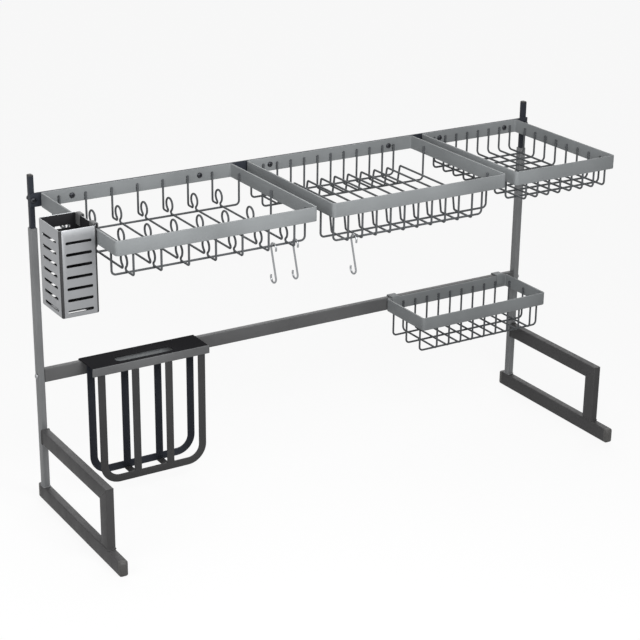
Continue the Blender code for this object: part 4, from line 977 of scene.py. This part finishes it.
# Bent strip hooks
def build_strip_hook(node, body, along, width_axis, thickness, material):
    """A strip bent over a bar: along is the direction from one leg to the other."""
    low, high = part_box(node)
    middle = (low + high) / 2
    half = abs((high - low).dot(along)) / 2 - thickness / 2
    width = abs((high - low).dot(width_axis))
    centre = Vector((middle.x, middle.y, 0))
    near = centre - along * half
    far = centre + along * half
    top = Z_AXIS * (high.z - thickness / 2)
    bottom = Z_AXIS * low.z
    path = bent([near + bottom, near + top, far + top, far + bottom], thickness, STRIP_BEND_STEPS)
    section = rounded_rectangle(thickness, width, thickness * SHEET_EDGE_SHARE, FEW_STEPS)
    strip = Shape().add(sweep(path, section, side=width_axis))
    place(f"{node}_strip", strip, body, material, [node])


# Chopstick holder
def slot_tool(centre, length, height, along, through):
    """A cutter with round ends: along and through are unit directions."""
    up = along.cross(through)
    radius = height / 2
    reach = length / 2 - radius
    outline = arc((reach, 0), radius, -math.pi / 2, math.pi / 2, SLOT_END_STEPS)
    outline += arc((-reach, 0), radius, math.pi / 2, 3 * math.pi / 2, SLOT_END_STEPS)
    rings = []
    for side in (-1, 1):
        middle = Vector(centre) + through * side * CUTTER_DEPTH / 2
        rings.append([middle + along * u + up * v for u, v in outline])
    return loft(rings)


def holder_box(low, high):
    """The folded box, still without openings in its walls."""
    middle = (low + high) / 2
    size = high - low

    def ring(inset, z):
        radius = max(HOLDER_CORNER - inset, HOLDER_LEAST_CORNER)
        outline = rounded_rectangle(size.x - 2 * inset, size.y - 2 * inset, radius, HOLDER_CORNER_STEPS)
        return [(middle.x + u, middle.y + v, z) for u, v in outline]

    return Shape().add(loft([
        ring(HOLDER_FOLD, low.z),
        ring(HOLDER_FOLD_IN, low.z + HOLDER_FOLD_UP),
        ring(0, low.z + HOLDER_FOLD),
        ring(0, high.z - HOLDER_RIM_DROP),
        ring(HOLDER_RIM_EDGE, high.z),
        ring(HOLDER_SHEET - HOLDER_RIM_EDGE, high.z),
        ring(HOLDER_SHEET, high.z - HOLDER_RIM_DROP),
        ring(HOLDER_SHEET, low.z + HOLDER_INNER_FOLD),
        ring(HOLDER_INNER_FOLD, low.z + HOLDER_SHEET),
    ])).mesh("chopstick_box")


def holder_cutters(low, high):
    """The cutters of the slots in three walls and of the drains."""
    middle = (low + high) / 2
    tools = Shape()
    for number in range(HOLDER_SLOT_COUNT):
        z = high.z - HOLDER_FIRST_SLOT - number * HOLDER_SLOT_PITCH - HOLDER_SLOT_HEIGHT / 2
        for y in (low.y, high.y):
            tools.add(slot_tool((middle.x, y, z), HOLDER_FRONT_SLOT, HOLDER_SLOT_HEIGHT, X_AXIS, Y_AXIS))
        tools.add(slot_tool((low.x, middle.y, z), HOLDER_SIDE_SLOT, HOLDER_SLOT_HEIGHT, Y_AXIS, X_AXIS))
    for number in range(HOLDER_DRAIN_COUNT):
        y = middle.y + (number - (HOLDER_DRAIN_COUNT - 1) / 2) * HOLDER_DRAIN_PITCH
        tools.add(slot_tool((middle.x, y, low.z), HOLDER_DRAIN_LENGTH, HOLDER_DRAIN_WIDTH, X_AXIS, Z_AXIS))
    return tools.mesh("slots")


def holder_mesh():
    """The box with its openings: its round edges and its inside are darker, as painted shade."""
    low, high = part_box("chopstick_holder")
    middle = (low + high) / 2
    mesh = cut(holder_box(low, high), holder_cutters(low, high), "chopstick_box")
    looks = (HOLDER, HOLDER_EDGE_SHADE, HOLDER_INSIDE_SHADE)
    for look in looks:
        mesh.materials.append(look)
    for face in mesh.polygons:
        to_side = min(face.center.x - low.x, high.x - face.center.x)
        to_end = min(face.center.y - low.y, high.y - face.center.y)
        outward = face.normal.x * (face.center.x - middle.x) + face.normal.y * (face.center.y - middle.y)
        below_rim = low.z + HOLDER_SHEET / 2 < face.center.z < high.z - HOLDER_SHEET / 2
        # Painted shade: dark round edges outside and darker inside walls.
        if max(to_side, to_end) < HOLDER_CORNER and outward > 0:
            face.material_index = looks.index(HOLDER_EDGE_SHADE)
        elif below_rim and min(to_side, to_end) > HOLDER_SHEET / 2 and outward <= 0:
            face.material_index = looks.index(HOLDER_INSIDE_SHADE)
    return mesh


def build_holder():
    box = add_object("chopstick_box", holder_mesh())
    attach(box, "chopstick_holder_unit")
    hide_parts("chopstick_holder")
    for word in ("front", "rear"):
        node = f"chopstick_holder_{word}_hook"
        build_strip_hook(node, "chopstick_holder_unit", X_AXIS, Y_AXIS, HOLDER_HOOK_THICKNESS, FRAME_SHADE_COAT)


# Knife and board holder
def build_knife_tray():
    """The slotted deck that hooks over the crossbar, dark as painted shade, and the bar along its front,
    paler as painted light.
    """
    low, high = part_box("knife_tray")
    middle = (low + high) / 2
    sheet = KNIFE_SHEET - KNIFE_DECK_SINK
    deck_z = high.z - KNIFE_DECK_SINK - sheet / 2
    bar_rear = low.y + KNIFE_BAR_THICKNESS
    lip_y = high.y - sheet / 2
    corners = [
        (middle.x, bar_rear - WELD_OVERLAP, deck_z),
        (middle.x, lip_y, deck_z),
        (middle.x, lip_y, high.z - KNIFE_LIP_HEIGHT),
    ]
    section = rounded_rectangle(sheet, high.x - low.x - 2 * STRIP_EDGE, sheet * SHEET_EDGE_SHARE, FEW_STEPS)
    deck = Shape().add(sweep(bent(corners, KNIFE_SHEET), section, side=X_AXIS)).mesh("knife_deck")
    slot_x = low.x + KNIFE_SLOT_INSET + KNIFE_SLOT_LENGTH / 2
    loop_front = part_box("knife_rear_loop")[0].y
    slot_place = (slot_x, (bar_rear + loop_front) / 2, high.z)
    tool = Shape().add(slot_tool(slot_place, KNIFE_SLOT_LENGTH, KNIFE_SLOT_WIDTH, X_AXIS, Z_AXIS))
    deck = cut(deck, tool.mesh("knife_slot"), "knife_deck")
    place("knife_deck", deck, "knife_holder_unit", DECK_SHADE_COAT, ["knife_tray"])
    bar_high = Vector((high.x, bar_rear, high.z))
    bar_low = Vector((low.x, low.y, high.z - KNIFE_BAR_HEIGHT))
    front_bar = Shape().add(bar(bar_low, bar_high, 0, FLAT_CORNER, edge=FLAT_EDGE))
    place("knife_front_bar", front_bar, "knife_holder_unit", KNIFE_BAR_LIT_COAT, ["knife_tray"])


def build_knife_loop(node, material, top_strip):
    """Two legs and a round-cornered bottom from one bent strip, with bars welded between."""
    low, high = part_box(node)
    thickness = high.y - low.y
    y = (low.y + high.y) / 2
    left = low.x + KNIFE_STRIP / 2
    right = high.x - KNIFE_STRIP / 2
    bottom = low.z + KNIFE_STRIP / 2
    section = rounded_rectangle(KNIFE_STRIP, thickness, STRIP_EDGE, FEW_STEPS)
    thin = rounded_rectangle(KNIFE_STRIP, thickness * THIN_SHARE, STRIP_EDGE, FEW_STEPS)
    thinner = rounded_rectangle(KNIFE_STRIP, thickness * THINNER_SHARE, STRIP_EDGE, FEW_STEPS)
    bars_top = high.z - (KNIFE_STRIP / 2 if top_strip else WELD_OVERLAP)
    corners = [(left, y, high.z), (left, y, bottom), (right, y, bottom), (right, y, high.z)]
    path = bent(corners, KNIFE_CORNER - KNIFE_STRIP / 2, KNIFE_CORNER_STEPS)
    loop = Shape().add(sweep(path, section, side=Y_AXIS))
    pitch = (right - left) / (KNIFE_MIDDLE_BARS + 1)
    for number in range(1, KNIFE_MIDDLE_BARS + 1):
        x = left + number * pitch
        ends = [(x, y, bars_top), (x, y, bottom)]
        loop.add(sweep(ends, thinner, side=Y_AXIS))
    if top_strip:
        reach = KNIFE_STRIP / 2 - WELD_OVERLAP
        z = high.z - KNIFE_STRIP / 2
        strip = Shape().add(sweep([(left + reach, y, z), (right - reach, y, z)], thin, side=Y_AXIS))
        # The top strip, seen through the deck's slot, takes the pale band coat as a painted highlight.
        place(f"{node}_top_strip", strip, "knife_holder_unit", BAND_LIT_COAT, [node])
    place(f"{node}_bars", loop, "knife_holder_unit", material, [node])


def build_knife_straps():
    for number in range(1, KNIFE_MIDDLE_BARS + 1):
        node = f"knife_bottom_strap_{number}"
        low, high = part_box(node)
        ends = Y_AXIS * WELD_OVERLAP
        strap = Shape().add(bar(low - ends, high + ends, 1, STRIP_EDGE))
        place(f"{node}_bar", strap, "knife_holder_unit", LOOP_SHADE_COAT, [node])


# Utensil hooks
def build_utensil_hook(node):
    joint = next(joint for joint in frame["joints"] if joint["name"] == node + "_swing")
    pivot = Vector(joint["pos_m"])
    top = WIRE_RADIUS + HOOK_GAP + HOOK_WIRE - HOOK_BEND
    bottom = top - (HOOK_LENGTH - 2 * HOOK_BEND)
    upper = arc((0, top), HOOK_BEND, HOOK_MOUTH, 0, HOOK_STEPS)
    lower = arc((0, bottom), HOOK_BEND, math.pi, math.pi + HOOK_MOUTH, HOOK_STEPS)
    path = [pivot + Vector((0, y, z)) for y, z in upper + lower]
    hook = Shape().add(wire(path, HOOK_WIRE))
    place(f"{node}_wire", hook, f"{node}_unit", STEEL, [node], WIRE_SMOOTH)


for word in ("left", "right"):
    build_base(word)
    build_foot(word)
    build_post(word)
build_long_bars()
for node_name in sorted(frame["nodes"]):
    if "screw" in node_name:
        build_screw(node_name)
    elif "_nut" in node_name:
        build_nut(node_name)
for rack_name in ("bowl_rack", "plate_rack", "fruit_rack"):
    build_band(rack_name, "rack")
build_band("soap_caddy", "soap_caddy_unit")
build_bowl_bed()
build_plate_bed()
build_fruit_bed()
build_caddy_bed()
for word in ("left", "right"):
    hook_name = f"soap_caddy_{word}_hook"
    build_strip_hook(hook_name, "soap_caddy_unit", Y_AXIS, X_AXIS, CADDY_HOOK_THICKNESS, BAND_LIT_COAT)
build_holder()
build_knife_tray()
build_knife_loop("knife_front_loop", LOOP_SHADE_COAT, top_strip=False)
build_knife_loop("knife_rear_loop", DARKEST_SHADE_COAT, top_strip=True)
build_knife_straps()
for number in (1, 2, 3):
    build_utensil_hook(f"utensil_hook_{number}")


# Floor, world, lights and camera
FLOOR_REACH = 9
FLOOR_DROP = 0.0004
FLOOR_ROUGHNESS = 0.9
FLOOR_COLOUR = (0.35, 0.35, 0.35, 1)
FLOOR_SEEN_COLOUR = (0.11, 0.11, 0.11, 1)
FLOOR_SEEN_GLOW = 0.89
WORLD_LIGHT = 0.18
WORLD_SEEN = 0.93
KEY = {"place_at": (-0.20, -0.85, 0.92), "target": (-0.05, -0.1, 0.40), "size": 0.7, "power": 8.8}
LEFT_FILL = {"place_at": (-1.05, -0.25, 0.72), "target": (-0.45, 0.0, 0.40), "size": 0.9, "power": 3.8}
REAR_FILL = {"towards": (0.35, 0.75, 0.55), "width": 50, "strength": 1.1}


def seen_directly(tree):
    """1 for camera, glossy and transmission rays, and 0 for the rays that light the object."""
    rays = tree.nodes.new("ShaderNodeLightPath")
    value = rays.outputs["Is Camera Ray"]
    for name in ("Is Glossy Ray", "Is Transmission Ray"):
        larger = tree.nodes.new("ShaderNodeMath")
        larger.operation = "MAXIMUM"
        tree.links.new(value, larger.inputs[0])
        tree.links.new(rays.outputs[name], larger.inputs[1])
        value = larger.outputs[0]
    return value


def build_floor():
    """A plain pale floor that keeps the object's shadow."""
    mesh = bpy.data.meshes.new("floor")
    reach = FLOOR_REACH
    corners = [(-reach, -reach, 0), (reach, -reach, 0), (reach, reach, 0), (-reach, reach, 0)]
    mesh.from_pydata(corners, [], [(0, 1, 2, 3)])
    floor = add_object("floor", mesh)
    floor.location.z = -FLOOR_DROP
    look = bpy.data.materials.new("floor")
    look.use_nodes = True
    tree = look.node_tree
    lit = tree.nodes["Principled BSDF"]
    lit.inputs["Base Color"].default_value = FLOOR_COLOUR
    lit.inputs["Roughness"].default_value = FLOOR_ROUGHNESS
    shaded = tree.nodes.new("ShaderNodeBsdfDiffuse")
    shaded.inputs["Color"].default_value = FLOOR_SEEN_COLOUR
    glow = tree.nodes.new("ShaderNodeEmission")
    glow.inputs["Strength"].default_value = FLOOR_SEEN_GLOW
    both = tree.nodes.new("ShaderNodeAddShader")
    tree.links.new(shaded.outputs[0], both.inputs[0])
    tree.links.new(glow.outputs[0], both.inputs[1])
    chosen = tree.nodes.new("ShaderNodeMixShader")
    tree.links.new(seen_directly(tree), chosen.inputs[0])
    tree.links.new(lit.outputs[0], chosen.inputs[1])
    tree.links.new(both.outputs[0], chosen.inputs[2])
    tree.links.new(chosen.outputs[0], tree.nodes["Material Output"].inputs["Surface"])
    mesh.materials.append(look)


def build_world():
    world = bpy.data.worlds.new("studio")
    bpy.context.scene.world = world
    world.use_nodes = True
    tree = world.node_tree
    sky = tree.nodes["Background"]
    sky.inputs["Color"].default_value = (1, 1, 1, 1)
    strength = tree.nodes.new("ShaderNodeMapRange")
    strength.inputs["To Min"].default_value = WORLD_LIGHT
    strength.inputs["To Max"].default_value = WORLD_SEEN
    tree.links.new(seen_directly(tree), strength.inputs["Value"])
    tree.links.new(strength.outputs["Result"], sky.inputs["Strength"])


def aimed(name, data, along):
    lamp = add_object(name, data)
    lamp.rotation_mode = "QUATERNION"
    lamp.rotation_quaternion = along.to_track_quat("-Z", "Y")
    return lamp


def add_sun(name, towards, width, strength):
    """An even light from a direction, with soft shadows as wide as its disc."""
    data = bpy.data.lights.new(name, "SUN")
    data.angle = math.radians(width)
    data.energy = strength
    aimed(name, data, -Vector(towards))


def add_disc(name, place_at, target, size, power):
    """A near light that falls off with distance."""
    data = bpy.data.lights.new(name, "AREA")
    data.shape = "DISK"
    data.size = size
    data.energy = power
    aimed(name, data, Vector(target) - Vector(place_at)).location = place_at


def build_camera():
    forward = Vector((
        math.sin(CAMERA_YAW) * math.cos(CAMERA_PITCH),
        math.cos(CAMERA_YAW) * math.cos(CAMERA_PITCH),
        -math.sin(CAMERA_PITCH),
    ))
    level = Vector((math.cos(CAMERA_YAW), -math.sin(CAMERA_YAW), 0))
    upward = level.cross(forward)
    right = level * math.cos(CAMERA_ROLL) + upward * math.sin(CAMERA_ROLL)
    up = upward * math.cos(CAMERA_ROLL) - level * math.sin(CAMERA_ROLL)
    lens = bpy.data.cameras.new("camera")
    lens.sensor_width = SENSOR_MILLIMETRES
    lens.lens = FOCAL_PIXELS / PICTURE_PIXELS * SENSOR_MILLIMETRES
    lens.clip_start = NEAREST
    lens.clip_end = FARTHEST
    camera = add_object("camera", lens)
    turn = Matrix((right, up, -forward)).transposed().to_4x4()
    camera.matrix_world = Matrix.Translation(RACK_ZERO + CAMERA_PLACE) @ turn
    bpy.context.scene.camera = camera


build_floor()
build_world()
add_disc("key", **KEY)
add_disc("left_fill", **LEFT_FILL)
add_sun("rear_fill", **REAR_FILL)
build_camera()
bpy.context.scene.view_settings.view_transform = "Standard"
